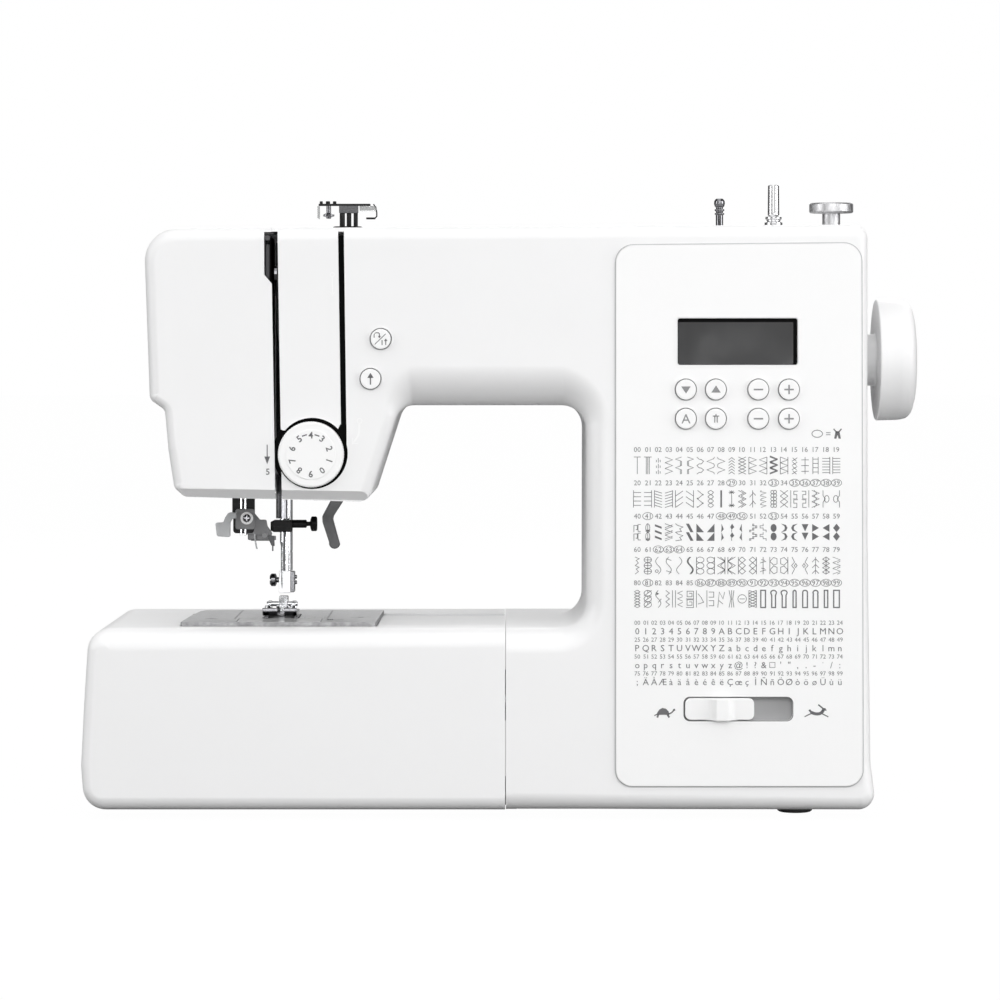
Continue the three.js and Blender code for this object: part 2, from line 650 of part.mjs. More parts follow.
part('winder_spindle', turned('z', [
  [0, 293.1], [3.9, 293.1], [3.9, 299.6], [3, 300.6], [2.8, 315.2], [2.3, 315.7], [0, 315.7],
], WINDER_X, TOP_ITEMS_Y, 16), PALE);

part('winder_stop', turned('z', [
  [0, topAt(STOP_X) + GAP], [4.4, topAt(STOP_X) + GAP], [4.4, 301], [11.2, 301], [11.3, 306.4],
  [0, 306.6],
], STOP_X, TOP_ITEMS_Y, 24), LIGHT_GREY);

part('top_thread_guide', join(
  box(-87.1, -71.9, -19, -9, topAt(-72) + GAP, 293.2),
  box(-83.8, -74.4, -16.5, -11.5, 292.5, 303.4),
  box(-95, -63.8, -15, -13, 302.6, 304.6),
), DARK);

// A bail that hangs behind the arm and swings up over it on two lugs of the rear cover.
const BAIL = { left: -46, right: 106, y: 40.4, pivotZ: 284, bottom: 248, arm: 18.6 };
part('carry_handle', cut(
  join(
    cut(
      prism('y', roundedRect(BAIL.left, BAIL.right, BAIL.bottom, 300, 8), BAIL.y - 3.6, BAIL.y + 3.6),
      box(-60, 120, 30, 50, BAIL.pivotZ, 310),
    ),
    rod('x', 3.6, BAIL.left, BAIL.left + 9.7, BAIL.y, BAIL.pivotZ, 12),
    rod('x', 3.6, BAIL.right - 9.7, BAIL.right, BAIL.y, BAIL.pivotZ, 12),
  ),
  prism('y', roundedRect(BAIL.left + BAIL.arm, BAIL.right - BAIL.arm, 262, 310, 5), 30, 50),
  box(-36.3, -27, 30, 50, 277.7, 310),
  box(87, 96.3, 30, 50, 277.7, 310),
), WHITE);

// A cup-shaped mains inlet.
part('power_inlet', cut(
  join(
    prism('x', roundedRect(30, 58, 28, 52, 3), 180.6, 181.8),
    box(160, 181, 32.4, 55.6, 30.4, 49.6),
  ),
  box(164, 190, 35, 53, 33, 47),
), DARK);

part('power_switch', prism('y', [
  [170, 30.2], [180.4, 30.2], [179.2, 40], [182.2, 49.8], [170, 49.8],
], 8.4, 21.6), DARK);

// The pieces above are placed from the shaft axis; this centres the whole machine on the origin.
machine.position.y = CENTRE_SHIFT_Y;

export default machine;
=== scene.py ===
# The looks of a computerised free-arm sewing machine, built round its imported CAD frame.
# Lengths are millimetres until a mesh is made. +X is to the operator's right, +Y away from the
# operator, +Z up. Depths are counted as in the CAD source, and CENTRE_Y moves them onto the frame.
import math

import bmesh
import bpy
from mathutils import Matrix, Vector


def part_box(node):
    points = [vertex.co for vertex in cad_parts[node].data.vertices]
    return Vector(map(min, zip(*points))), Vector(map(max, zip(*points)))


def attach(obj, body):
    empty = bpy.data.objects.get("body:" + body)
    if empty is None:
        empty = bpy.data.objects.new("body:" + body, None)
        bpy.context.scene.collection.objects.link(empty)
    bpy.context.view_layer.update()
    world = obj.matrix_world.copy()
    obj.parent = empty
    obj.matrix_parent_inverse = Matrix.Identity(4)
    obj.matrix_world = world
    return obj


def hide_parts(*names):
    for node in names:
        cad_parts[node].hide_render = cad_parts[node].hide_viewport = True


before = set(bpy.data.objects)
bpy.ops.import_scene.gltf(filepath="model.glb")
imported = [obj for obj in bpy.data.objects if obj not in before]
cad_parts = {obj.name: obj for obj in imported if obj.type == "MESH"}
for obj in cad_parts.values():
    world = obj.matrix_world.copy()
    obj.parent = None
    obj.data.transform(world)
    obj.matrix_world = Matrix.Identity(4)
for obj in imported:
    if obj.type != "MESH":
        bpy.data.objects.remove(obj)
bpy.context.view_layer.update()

MM = 0.001
CENTRE_Y = 3.7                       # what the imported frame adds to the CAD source's depths

FRONT_Y = -82.0                      # front face of the casing
SPLIT_Y = -22.0                      # seam between the front and rear covers, and depth of the main shaft
ARM_REAR_Y, BASE_REAR_Y = 36.0, 78.0
BASE_BOTTOM, BED_TOP, ARM_BOTTOM = 4.5, 93.8, 203.3
WALL, TABLE_WALL = 2.6, 2.4
FRONT_HOLE = (-90, -70)              # depths between which a hole goes right through the front wall
PANEL_FRONT = -83.1
PLATE_TOP = 95.8
NEEDLE_Y = -22.0
PRESSER_X, PRESSER_Y = -110.9, -9.0
SHAFT_Z = 225.7
DIAL_X, DIAL_Z, DIAL_R = -95.0, 179.4, 16.25
KEY_R = 5.35
SPOOL_X, WINDER_X, STOP_X, TOP_Y = 110.6, 138.4, 168.1, 11.0
PRINT = 0.05                         # thickness of printed marks


# ---------------------------------------------------------------- solids as (vertices, faces)

def place(axis, a, b, along):
    """A point from its two coordinates across an axis and its place along it."""
    if axis == "x":
        return (along, a, b)
    if axis == "y":
        return (a, along, b)
    return (a, b, along)


def merged(*solids):
    """Several solids as one, not joined."""
    verts, faces = [], []
    for v, f in solids:
        start = len(verts)
        verts += v
        faces += [[i + start for i in face] for face in f]
    return verts, faces


def rounded(corners, arc=10):
    """Dense closed outline from (a, b, radius) corners, as (point, corner number, share of its arc)."""
    made = []
    for i, (a, b, radius) in enumerate(corners):
        here = Vector((a, b))
        back = Vector(corners[i - 1][:2]) - here
        ahead = Vector(corners[(i + 1) % len(corners)][:2]) - here
        turn = back.angle(ahead)
        if radius <= 0 or turn > math.pi - 1e-3:
            made.append((here, i, 0.5))
            continue
        reach = min(radius / math.tan(turn / 2), 0.49 * back.length, 0.49 * ahead.length)
        radius = reach * math.tan(turn / 2)
        middle = (back.normalized() + ahead.normalized()).normalized()
        centre = here + middle * (radius / math.sin(turn / 2))
        first = here + back.normalized() * reach - centre
        last = here + ahead.normalized() * reach - centre
        start = math.atan2(first.y, first.x)
        sweep = (math.atan2(last.y, last.x) - start + math.pi) % (2 * math.pi) - math.pi
        steps = max(2, round(abs(math.degrees(sweep)) / arc))
        for k in range(steps + 1):
            angle = start + sweep * k / steps
            made.append((centre + radius * Vector((math.cos(angle), math.sin(angle))), i, k / steps))
    return made


def inward(points):
    """For each point of a counter-clockwise outline, the move that insets both its edges by one."""
    moves = []
    for i, here in enumerate(points):
        before = (here - points[i - 1]).normalized()
        after = (points[(i + 1) % len(points)] - here).normalized()
        n0, n1 = Vector((-before.y, before.x)), Vector((-after.y, after.x))
        moves.append((n0 + n1) / max(1 + n0.dot(n1), 0.3))
    return moves


def area(points):
    """Signed area of an outline, positive when it runs counter-clockwise."""
    return sum(p.x * q.y - q.x * p.y for p, q in zip(points, points[1:] + points[:1])) / 2


def prism(axis, corners, low, high, rim=0.0, rim_high=None, inset=0.0, steps=4, arc=10):
    """An outline pushed along an axis; rim rounds its end edges, by one number or one per outline edge."""
    corners = [tuple(c) if len(c) == 3 else (*c, 0) for c in corners]
    dense = rounded(corners, arc)
    if area([p for p, _, _ in dense]) < 0:
        dense = rounded(corners[::-1], arc)
    moves = inward([p for p, _, _ in dense])

    def ring(rims, side, sign, share):
        out, down = math.sin(share * math.pi / 2), math.cos(share * math.pi / 2)
        made = []
        for (p, i, t), move in zip(dense, moves):
            r = rims if isinstance(rims, (int, float)) else rims[i - 1] * (1 - t) + rims[i] * t
            r = max(r - inset, 0.0)
            q = p + move * (inset + r * (1 - out))
            made.append(place(axis, q.x, q.y, side + sign * r * (1 - down)))
        return made

    rim_high = rim if rim_high is None else rim_high
    rings = [ring(rim, low, 1, k / steps) for k in range(steps + 1)] if rim else [ring(0, low, 1, 1)]
    ends = [ring(rim_high, high, -1, k / steps)
            for k in range(steps + 1)] if rim_high else [ring(0, high, -1, 1)]
    rings += ends[::-1]
    return lofted(rings)


def lofted(rings, caps=True):
    """A skin over rings of equal length, closed at both ends unless caps is off."""
    count = len(rings[0])
    verts = [v for r in rings for v in r]
    faces = []
    for k in range(len(rings) - 1):
        for i in range(count):
            j = (i + 1) % count
            faces.append([k * count + i, k * count + j, (k + 1) * count + j, (k + 1) * count + i])
    if caps:
        faces.append(list(range(count))[::-1])
        faces.append([(len(rings) - 1) * count + i for i in range(count)])
    return verts, faces


def rectangle(a0, a1, b0, b1, corner=0.0):
    return [(a0, b0, corner), (a1, b0, corner), (a1, b1, corner), (a0, b1, corner)]


def block(x0, x1, y0, y1, z0, z1, corner=0.0, rim=0.0, axis="y"):
    """A box; corner rounds its four edges along the axis, and rim the edges of its two ends."""
    spans = {"x": (y0, y1, z0, z1, x0, x1), "y": (x0, x1, z0, z1, y0, y1), "z": (x0, x1, y0, y1, z0, z1)}
    a0, a1, b0, b1, low, high = spans[axis]
    return prism(axis, rectangle(a0, a1, b0, b1, corner), low, high, rim, steps=3, arc=15)


def soft(path, radius, steps=4):
    """An open polyline with its inner corners rounded."""
    made = [Vector(path[0])]
    for before, here, after in zip(path, path[1:], path[2:]):
        here = Vector(here)
        back, ahead = Vector(before) - here, Vector(after) - here
        reach = min(radius, 0.45 * back.length, 0.45 * ahead.length)
        start, end = here + back.normalized() * reach, here + ahead.normalized() * reach
        for k in range(steps + 1):
            t = k / steps
            made.append(start * (1 - t) ** 2 + here * 2 * t * (1 - t) + end * t * t)
    return made + [Vector(path[-1])]


def turned(axis, profile, a, b, segments=48, round_by=0.0):
    """A turned body from (radius, distance along the axis), ending on the axis or closing as a ring."""
    points = soft(profile, round_by) if round_by else [Vector(p) for p in profile]
    verts, faces, rows = [], [], []
    for r, along in points:
        if r < 1e-6:
            rows.append([len(verts)])
            verts.append(place(axis, a, b, along))
        else:
            rows.append(list(range(len(verts), len(verts) + segments)))
            verts += [place(axis, a + r * math.cos(t * math.tau / segments),
                            b + r * math.sin(t * math.tau / segments), along) for t in range(segments)]
    closed = len(rows[0]) > 1
    for first, second in zip(rows, rows[1:] + rows[:1] if closed else rows[1:]):
        for t in range(segments):
            u = (t + 1) % segments
            face = [first[t % len(first)], first[u % len(first)], second[u % len(second)],
                    second[t % len(second)]]
            face = list(dict.fromkeys(face))
            if len(face) > 2:
                faces.append(face)
    return verts, faces


def rod(axis, radius, low, high, a, b, rim=0.3, segments=32):
    """A round bar with bevelled ends."""
    return turned(axis, [(0, low), (radius - rim, low), (radius, low + rim), (radius, high - rim),
                         (radius - rim, high), (0, high)], a, b, segments)


def ring_of(axis, inner, outer, low, high, a, b, segments=48):
    """A flat ring or short tube."""
    return turned(axis, [(inner, low), (outer, low), (outer, high), (inner, high)], a, b, segments)


def tube(path, radius, sides=12):
    """A round bar along a 3-D path."""
    points = [Vector(p) for p in path]
    side = None
    rings = []
    for i, p in enumerate(points):
        ahead = (points[min(i + 1, len(points) - 1)] - points[max(i - 1, 0)]).normalized()
        if side is None:
            side = ahead.orthogonal().normalized()
        side = (side - ahead * side.dot(ahead)).normalized()
        up = ahead.cross(side)
        turns = [k * math.tau / sides for k in range(sides)]
        rings.append([tuple(p + radius * (side * math.cos(t) + up * math.sin(t))) for t in turns])
    return lofted(rings)


def ribbon(path, width, along, axis="y", thick=PRINT):
    """A printed or raised line of the given width in the plane across the axis."""
    points = [Vector(p) for p in path]
    closed = (points[0] - points[-1]).length < 1e-6
    if closed:
        points.pop()
    edges = []
    for i, p in enumerate(points):
        before = points[i - 1] if i or closed else p
        after = points[(i + 1) % len(points)] if i < len(points) - 1 or closed else p
        d0, d1 = (p - before).normalized(), (after - p).normalized()
        d0, d1 = (d0 if d0.length else d1), (d1 if d1.length else d0)
        n = Vector((-d0.y - d1.y, d0.x + d1.x))
        if n.length > 1e-6:
            n = n.normalized() * (width / 2) / max(math.cos(d0.angle(d1, 0) / 2), 0.5)
        else:
            n = Vector((-d0.y, d0.x)) * width / 2
        edges.append((p + n, p - n))
    rings = [[place(axis, l.x, l.y, along), place(axis, r.x, r.y, along),
              place(axis, r.x, r.y, along + thick), place(axis, l.x, l.y, along + thick)] for l, r in edges]
    if closed:
        return lofted(rings + rings[:1], caps=False)
    return lofted(rings)


def closed_line(corners, width, along, thick):
    """A line along an outline with rounded corners."""
    points = [tuple(p) for p, _, _ in rounded(corners)]
    return ribbon(points + points[:1], width, along, thick=thick)


def filled(points, along, axis="y", thick=PRINT):
    """A printed area."""
    return prism(axis, points, along, along + thick)


def circle(a, b, r, start=0.0, end=360.0, steps=24):
    """Points on a circle, between two angles in degrees."""
    return [(a + r * math.cos(math.radians(start + (end - start) * k / steps)),
             b + r * math.sin(math.radians(start + (end - start) * k / steps))) for k in range(steps + 1)]


def oval(a, b, across, up, steps):
    turns = [t * math.tau / steps for t in range(steps + 1)]
    return [(a + across * math.cos(t), b + up * math.sin(t)) for t in turns]


def drawing(x, z, y, *strokes):
    """Marks about a centre, as (width, points) or (width, points, bend radius); a width of 0 fills."""
    made = []
    for width, points, *bend in strokes:
        points = [(x + a, z + b) for a, b in points]
        points = soft(points, *bend) if bend else points
        made.append(ribbon(points, width, y) if width else filled(points, y))
    return made


GLYPHS = {}


def glyph(text, bold=0.0):
    """The built-in font's solid for a short text, one unit high, centred on its middle."""
    if (text, bold) not in GLYPHS:
        curve = bpy.data.curves.new("glyph", "FONT")
        curve.body = text
        curve.extrude = 0.5
        curve.offset = bold
        curve.resolution_u = 2
        holder = bpy.data.objects.new("glyph", curve)
        bpy.context.scene.collection.objects.link(holder)
        mesh = bpy.data.meshes.new_from_object(holder.evaluated_get(bpy.context.evaluated_depsgraph_get()))
        verts = [v.co.copy() for v in mesh.vertices]
        faces = [list(p.vertices) for p in mesh.polygons]
        middle = (min(v.x for v in verts) + max(v.x for v in verts)) / 2
        GLYPHS[text, bold] = ([(v.x - middle, v.y - 0.35, v.z) for v in verts], faces)
        bpy.data.objects.remove(holder)
        bpy.data.curves.remove(curve)
        bpy.data.meshes.remove(mesh)
    return GLYPHS[text, bold]


def lettering(text, a, b, size, along, axis="y", angle=0.0, bold=0.0):
    """A short printed text, centred on (a, b)."""
    verts, faces = glyph(text, bold)
    c, s = math.cos(math.radians(angle)), math.sin(math.radians(angle))
    made = []
    for x, y, z in verts:
        x, y = x * size, y * size
        depth = (0.5 - z if axis == "y" else 0.5 + z) * PRINT
        made.append(place(axis, a + x * c - y * s, b + x * s + y * c, along + depth))
    return made, faces


# ---------------------------------------------------------------- meshes, cutting and riding

def mesh_object(name, solid):
    """A Blender object from a solid, moved onto the frame and turned into metres."""
    mesh = bpy.data.meshes.new(name)
    verts, faces = solid
    mesh.from_pydata([(x * MM, (y + CENTRE_Y) * MM, z * MM) for x, y, z in verts], [], faces)
    bm = bmesh.new()
    bm.from_mesh(mesh)
    bmesh.ops.remove_doubles(bm, verts=bm.verts, dist=1e-7)
    bmesh.ops.recalc_face_normals(bm, faces=bm.faces)
    bm.to_mesh(mesh)
    bm.free()
    obj = bpy.data.objects.new(name, mesh)
    bpy.context.scene.collection.objects.link(obj)
    return obj


def boolean(obj, operation, *solids):
    """Adds, cuts or intersects the solids, one after the other."""
    for solid in solids:
        tool = mesh_object("tool", solid) if isinstance(solid, tuple) else solid
        step = obj.modifiers.new("step", "BOOLEAN")
        step.operation = operation
        step.object = tool
        step.solver = "MANIFOLD"
        made = bpy.data.meshes.new_from_object(obj.evaluated_get(bpy.context.evaluated_depsgraph_get()))
        if not made.polygons:
            step.solver = "EXACT"
            made = bpy.data.meshes.new_from_object(obj.evaluated_get(bpy.context.evaluated_depsgraph_get()))
        obj.modifiers.clear()
        old, obj.data = obj.data, made
        bpy.data.meshes.remove(old)
        if isinstance(solid, tuple):
            bpy.data.objects.remove(tool)
    return obj


def finish_piece(obj, material, body, stands_for=(), angle=32):
    """Gives a piece its material and shading, and ties it to its body, CAD nodes and material slot."""
    obj.data.materials.clear()
    obj.data.materials.append(material)
    obj.data.shade_smooth()
    obj.data.set_sharp_from_angle(angle=math.radians(angle))
    weighted = obj.modifiers.new("weighted", "WEIGHTED_NORMAL")
    weighted.keep_sharp = True
    weighted.weight = 80
    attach(obj, body)
    if stands_for:
        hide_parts(*stands_for)
    return obj


def piece(name, solid, material, body="machine_body", stands_for=(), cuts=(), angle=32):
    """Makes a piece from a solid, less its cuts."""
    obj = mesh_object(name, solid)
    boolean(obj, "DIFFERENCE", *cuts)
    return finish_piece(obj, material, body, stands_for, angle)


# ---------------------------------------------------------------- materials

def nodes_of(name):
    """A new material, its node tree and its shader."""
    made = bpy.data.materials.new(name)
    made.use_nodes = True
    return made, made.node_tree, made.node_tree.nodes["Principled BSDF"]


def noise(tree, scale, detail=3.0, stretch=(1, 1, 1)):
    """Noise in the object's own space, stretched along each axis."""
    place_in = tree.nodes.new("ShaderNodeTexCoord")
    mapping = tree.nodes.new("ShaderNodeMapping")
    mapping.inputs["Scale"].default_value = stretch
    texture = tree.nodes.new("ShaderNodeTexNoise")
    texture.inputs["Scale"].default_value = scale
    texture.inputs["Detail"].default_value = detail
    tree.links.new(place_in.outputs["Object"], mapping.inputs["Vector"])
    tree.links.new(mapping.outputs["Vector"], texture.inputs["Vector"])
    return texture.outputs["Fac"]


def map_range(tree, source, from_low, from_high, low, high):
    node = tree.nodes.new("ShaderNodeMapRange")
    for label, value in (("From Min", from_low), ("From Max", from_high), ("To Min", low),
                         ("To Max", high)):
        node.inputs[label].default_value = value
    tree.links.new(source, node.inputs["Value"])
    return node.outputs["Result"]


def ramp(tree, source, low, high):
    """Spreads the middle of a noise over a range."""
    return map_range(tree, source, 0.3, 0.7, low, high)


def colour_between(tree, source, first, second):
    """A colour that a noise moves between two."""
    node = tree.nodes.new("ShaderNodeValToRGB")
    node.color_ramp.elements[0].position = 0.35
    node.color_ramp.elements[1].position = 0.65
    node.color_ramp.elements[0].color = (*first, 1)
    node.color_ramp.elements[1].color = (*second, 1)
    tree.links.new(source, node.inputs["Fac"])
    return node.outputs["Color"]


def bumped(tree, shader, source, strength, distance):
    """Fine relief on a shader, from a noise."""
    node = tree.nodes.new("ShaderNodeBump")
    node.inputs["Strength"].default_value = strength
    node.inputs["Distance"].default_value = distance
    tree.links.new(source, node.inputs["Height"])
    tree.links.new(node.outputs["Normal"], shader.inputs["Normal"])


def moulded(name, colour, roughness=0.4, vary=0.015, grain=2600, strength=0.12, coat=0.0, specular=0.5):
    """Moulded plastic: a fine spark-eroded grain, slight flow variation in tone and gloss."""
    made, tree, shader = nodes_of(name)
    low = tuple(max(c - vary, 0) for c in colour)
    high = tuple(min(c + vary, 1) for c in colour)
    tree.links.new(colour_between(tree, noise(tree, 16), low, high), shader.inputs["Base Color"])
    tree.links.new(ramp(tree, noise(tree, 60), roughness - 0.05, roughness + 0.05),
                   shader.inputs["Roughness"])
    bumped(tree, shader, noise(tree, grain, 2), strength, 0.00006)
    shader.inputs["Specular IOR Level"].default_value = specular
    shader.inputs["Coat Weight"].default_value = coat
    shader.inputs["Coat Roughness"].default_value = 0.12
    return made


def metal(name, colour, roughness, brushed=(1, 1, 1), vary=0.05, grain=900, strength=0.06):
    """Metal with drawn or ground marks; brushed stretches them along one direction."""
    made, tree, shader = nodes_of(name)
    low = tuple(max(c - vary, 0) for c in colour)
    high = tuple(min(c + vary, 1) for c in colour)
    lines = noise(tree, grain, 3, brushed)
    tree.links.new(colour_between(tree, lines, low, high), shader.inputs["Base Color"])
    tree.links.new(ramp(tree, noise(tree, 200, 3, brushed), roughness * 0.75, roughness * 1.25),
                   shader.inputs["Roughness"])
    bumped(tree, shader, lines, strength, 0.00005)
    shader.inputs["Metallic"].default_value = 1.0
    return made


def clear_plastic(name, tint, roughness=0.06, clear=0.85):
    """Clear or milky plastic; clear is the share of light that it lets through."""
    made, tree, shader = nodes_of(name)
    tree.links.new(colour_between(tree, noise(tree, 30), tuple(c * 0.96 for c in tint), tint),
                   shader.inputs["Base Color"])
    tree.links.new(ramp(tree, noise(tree, 120), roughness * 0.7, roughness * 1.4),
                   shader.inputs["Roughness"])
    shader.inputs["Transmission Weight"].default_value = clear
    shader.inputs["IOR"].default_value = 1.49
    return made


WHITE = moulded("casing_white", (0.86, 0.86, 0.863), 0.42, 0.003, coat=0.08)
PANEL_WHITE = moulded("panel_white", (0.905, 0.905, 0.905), 0.36, 0.002, grain=4200, strength=0.04)
KEY_WHITE = moulded("key_white", (0.90, 0.90, 0.90), 0.35, 0.004, grain=4000, strength=0.04)
GREY_PRINT = moulded("printed_grey", (0.13, 0.13, 0.135), 0.55, 0.01)
FINE_PRINT = moulded("printed_light_grey", (0.17, 0.17, 0.175), 0.55, 0.01)
# Grey for the keys: painted shade in the ring round each cap, and their printed marks.
GAP_SHADE_AND_PRINT_GREY = moulded("gap_shade_ring_and_print_grey", (0.27, 0.27, 0.275), 0.55, 0.01)
SEAM_GREY = moulded("panel_seam_grey", (0.52, 0.52, 0.53), 0.5, 0.01)
LIGHT_GREY = moulded("light_grey_plastic", (0.50, 0.51, 0.52), 0.45, 0.02)
SLOT_FLOOR = moulded("slot_floor_grey", (0.36, 0.36, 0.365), 0.5, 0.01)
MID_GREY = moulded("mid_grey_plastic", (0.20, 0.20, 0.205), 0.42, 0.02)
DARK_GREY = moulded("dark_grey_plastic", (0.075, 0.075, 0.08), 0.4, 0.01)
BLACK = moulded("black_plastic", (0.006, 0.006, 0.0065), 0.36, 0.002, specular=0.2)
# Near-black with almost no gloss: painted shade, on sheets set inside slots, wells and openings where the
# white casing would lie in shade.
SHADE_BLACK = moulded("painted_shade_black", (0.004, 0.004, 0.004), 0.7, 0.001, specular=0.05)
RUBBER = moulded("foot_rubber", (0.06, 0.06, 0.062), 0.75, 0.008, grain=1400, strength=0.3)
DISPLAY = moulded("display_glass", (0.058, 0.058, 0.059), 0.09, 0.003, grain=800,
                  strength=0.01, specular=0.35)
STEEL = metal("brushed_steel", (0.36, 0.36, 0.365), 0.52, (1, 14, 1), grain=420)
CHROME = metal("chrome_plate", (0.80, 0.81, 0.83), 0.1, vary=0.02, strength=0.01)
DARK_CHROME = metal("blackened_chrome", (0.20, 0.20, 0.21), 0.16, vary=0.03, strength=0.02)
CAST = metal("cast_alloy", (0.48, 0.49, 0.50), 0.55, vary=0.06, grain=700, strength=0.3)
CLEAR = clear_plastic("clear_plastic", (0.97, 0.98, 0.98))
MILKY = clear_plastic("milky_clear_plastic", (0.93, 0.93, 0.93), 0.12, 0.15)
BRIGHT_CHROME = metal("satin_chrome", (0.93, 0.93, 0.94), 0.4, vary=0.02, strength=0.01)
STEEL_LIGHT = metal("satin_steel", (0.72, 0.72, 0.73), 0.28, (1, 1, 10), grain=500)
STOP_GREY = metal("satin_grey_disc", (0.60, 0.60, 0.61), 0.45, (6, 1, 1), grain=500)


# ---------------------------------------------------------------- casing

BURIED_X = -30                       # the base is cut back from here to the seam with the table
# Front view, counter-clockwise: x, z, corner radius, and the front rounding of the edge that starts there.
BODY = [
    (-157.4, 158.5, 5, 5), (-66.9, 155.9, 7, 6), (-51.6, ARM_BOTTOM, 9, 20), (40.2, ARM_BOTTOM, 12, 10),
    (40.0, BED_TOP, 13, 12), (BURIED_X, BED_TOP, 0, 12),
    (BURIED_X, BASE_BOTTOM, 0, 7), (182.9, BASE_BOTTOM, 8, 6),
    (179.9, 28, 20, 6), (178.5, 140, 60, 6), (178.5, 292.4, 7, 6.5), (-177.6, 290.4, 16, 6),
    (-174.6, 206.5, 5, 4.5), (-167.0, 201.2, 4, 4.5), (-165.2, 181, 30, 5), (-162.5, 163.2, 5, 3.5),
]
BODY_REAR_ROUND = [5, 6, 7, 7, 7, 7, 7, 6, 6, 6, 6.5, 7, 4.5, 4.5, 5, 4]
REAR_BASE = [(BURIED_X, BASE_BOTTOM, 0), (182.9, BASE_BOTTOM, 8), (179.9, 28, 20), (179.2, BED_TOP, 8),
             (BURIED_X, BED_TOP, 0)]
REAR_BASE_ROUND = [6, 7, 7, 7.5, 7]
SLOT_RIGHT = [(-110.0, 200), (-110.9, 255.3)]
SLOT_W = 3.25
SLOT_TOP = 288.8


def slot_x(z):
    """Right edge of the take-up slot at a height."""
    (x0, z0), (x1, z1) = SLOT_RIGHT
    return x1 + (z - z1) * (x1 - x0) / (z1 - z0)


def body_solids(inset):
    """Head, arm and column; base; and the sweep behind the column, all shrunk by inset."""
    arm = prism("y", [c[:3] for c in BODY], FRONT_Y + inset, ARM_REAR_Y - inset,
                [c[3] for c in BODY], BODY_REAR_ROUND, inset, steps=6, arc=8)
    base = prism("y", REAR_BASE, 15, BASE_REAR_Y - inset, 0, REAR_BASE_ROUND, inset, steps=6)
    turns = [math.radians(t) for t in range(4, 91, 6)]
    curve = [(76 - 40 * math.sin(t), 133.8 - 40 * math.cos(t)) for t in turns]
    side = [(y - inset, z - inset) for y, z in [(30, 88), (75, 88), *curve, (30, 133.8)]]
    sweep = prism("x", side, 47.2 + inset, 171.3 - inset, 0, max(2.5 - inset, 0))
    return arm, base, sweep


def beside_slot(side):
    """All to one side of the take-up slot; above it, the right side reaches over to meet the left."""
    edge = 0 if side > 0 else SLOT_W
    seam = slot_x(SLOT_TOP) - SLOT_W + (0.1 if side > 0 else 0)
    corners = [(slot_x(0) - edge, 0), (260 * side, 0), (260 * side, 330), (seam, 330), (seam, SLOT_TOP),
               (slot_x(SLOT_TOP) - edge + 0.001, SLOT_TOP - 0.001)]
    return prism("y", corners, -120, 120)


def casing_solid(name, inset):
    arm, *rest = body_solids(inset)
    return boolean(mesh_object(name, arm), "UNION", *rest)


def casing_shell():
    """The hollow casing, cut away where the extension table meets it."""
    outer, inner = casing_solid("outer", 0), casing_solid("inner", WALL)
    boolean(inner, "DIFFERENCE", block(-60, 3.2, -130, 130, -10, 150))
    boolean(outer, "DIFFERENCE", inner, block(-60, 0.6, -130, 130, -10, 130))
    bpy.data.objects.remove(inner)
    return outer


def copy_of(obj, name):
    """A separate object with its own copy of a mesh."""
    made = obj.copy()
    made.data = obj.data.copy()
    made.name = name
    bpy.context.scene.collection.objects.link(made)
    return made


def head_chamfer():
    """The flat bevel along the head's lower front edge, dropping slightly to the right."""
    outline = [(-84, 164.2), (-84, 150), (-76.8, 150), (-76.8, 157.6), (-82, 162.2)]
    return lofted([[(x, y, z + drop) for y, z in outline] for x, drop in ((-172, 0.8), (-60, -1.0))])


def key_place(name):
    """Centre of a key in the front view, from the frame."""
    low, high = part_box(name)
    return (low.x + high.x) / 2 / MM, (low.z + high.z) / 2 / MM


KEYS = ["key_select_down", "key_select_up", "key_width_minus", "key_width_plus",
        "key_letter_mode", "key_twin_needle", "key_length_minus", "key_length_plus"]
HEAD_BUTTONS = ["reverse_button", "needle_position_button"]
SCREW_PLACES = [(-150, 275), (-60, 275), (160, 275), (160, 215), (-60, 215)]


def head_opening():
    """The hole under the head that the needle and presser bars come through."""
    return block(-150, -74, -68, 26, 150, 166, 6, axis="z")


def shared_cuts():
    """What both covers leave open: the tray, the way into the free arm, the head and the shaft."""
    return [block(6, 174, -76, 72, -2, 8), block(-3, 6.5, -60, 28, -2, 90), head_opening(),
            rod("x", 7, 170, 192, SPLIT_Y, SHAFT_Z)]


def build_front_cover(shell):
    guide_slot = [(-80.2, 182), (-77.5, 182), (-78.9, SLOT_TOP), (-81.8, SLOT_TOP)]
    left_flare = [(-112, 192.6), (-112, 182), (-104, 182), (-104, 191.2), (-108.6, 191.2)]
    right_flare = [(-80.6, 194.2), (-82.2, 191.2), (-85, 191.2), (-85, 178), (-77.5, 178), (-77.6, 194.2)]
    low, high = FRONT_HOLE
    cuts = [
        *shared_cuts(), head_chamfer(), prism("y", guide_slot, low, high),
        turned("y", [(0, low), (17.5, low), (17.5, high), (0, high)], DIAL_X + 0.5, DIAL_Z + 0.5, 64),
        prism("y", left_flare, low, high), prism("y", right_flare, low, high),
        block(86.5, 142, -90, -75, 226, 244.5),
        block(87.9, 141.2, -90, -75, 48.9, 60.4, 3),
    ]
    cuts += [rod("y", KEY_R + 0.1, low, high, *key_place(k)) for k in KEYS + HEAD_BUTTONS]
    front = boolean(copy_of(shell, "front_cover_shell"), "INTERSECT", beside_slot(1),
                    block(-250, 250, -120, SPLIT_Y - 0.15, -10, 330))
    boolean(front, "DIFFERENCE", *cuts)
    finish_piece(front, WHITE, "machine_body", ["front_cover"])


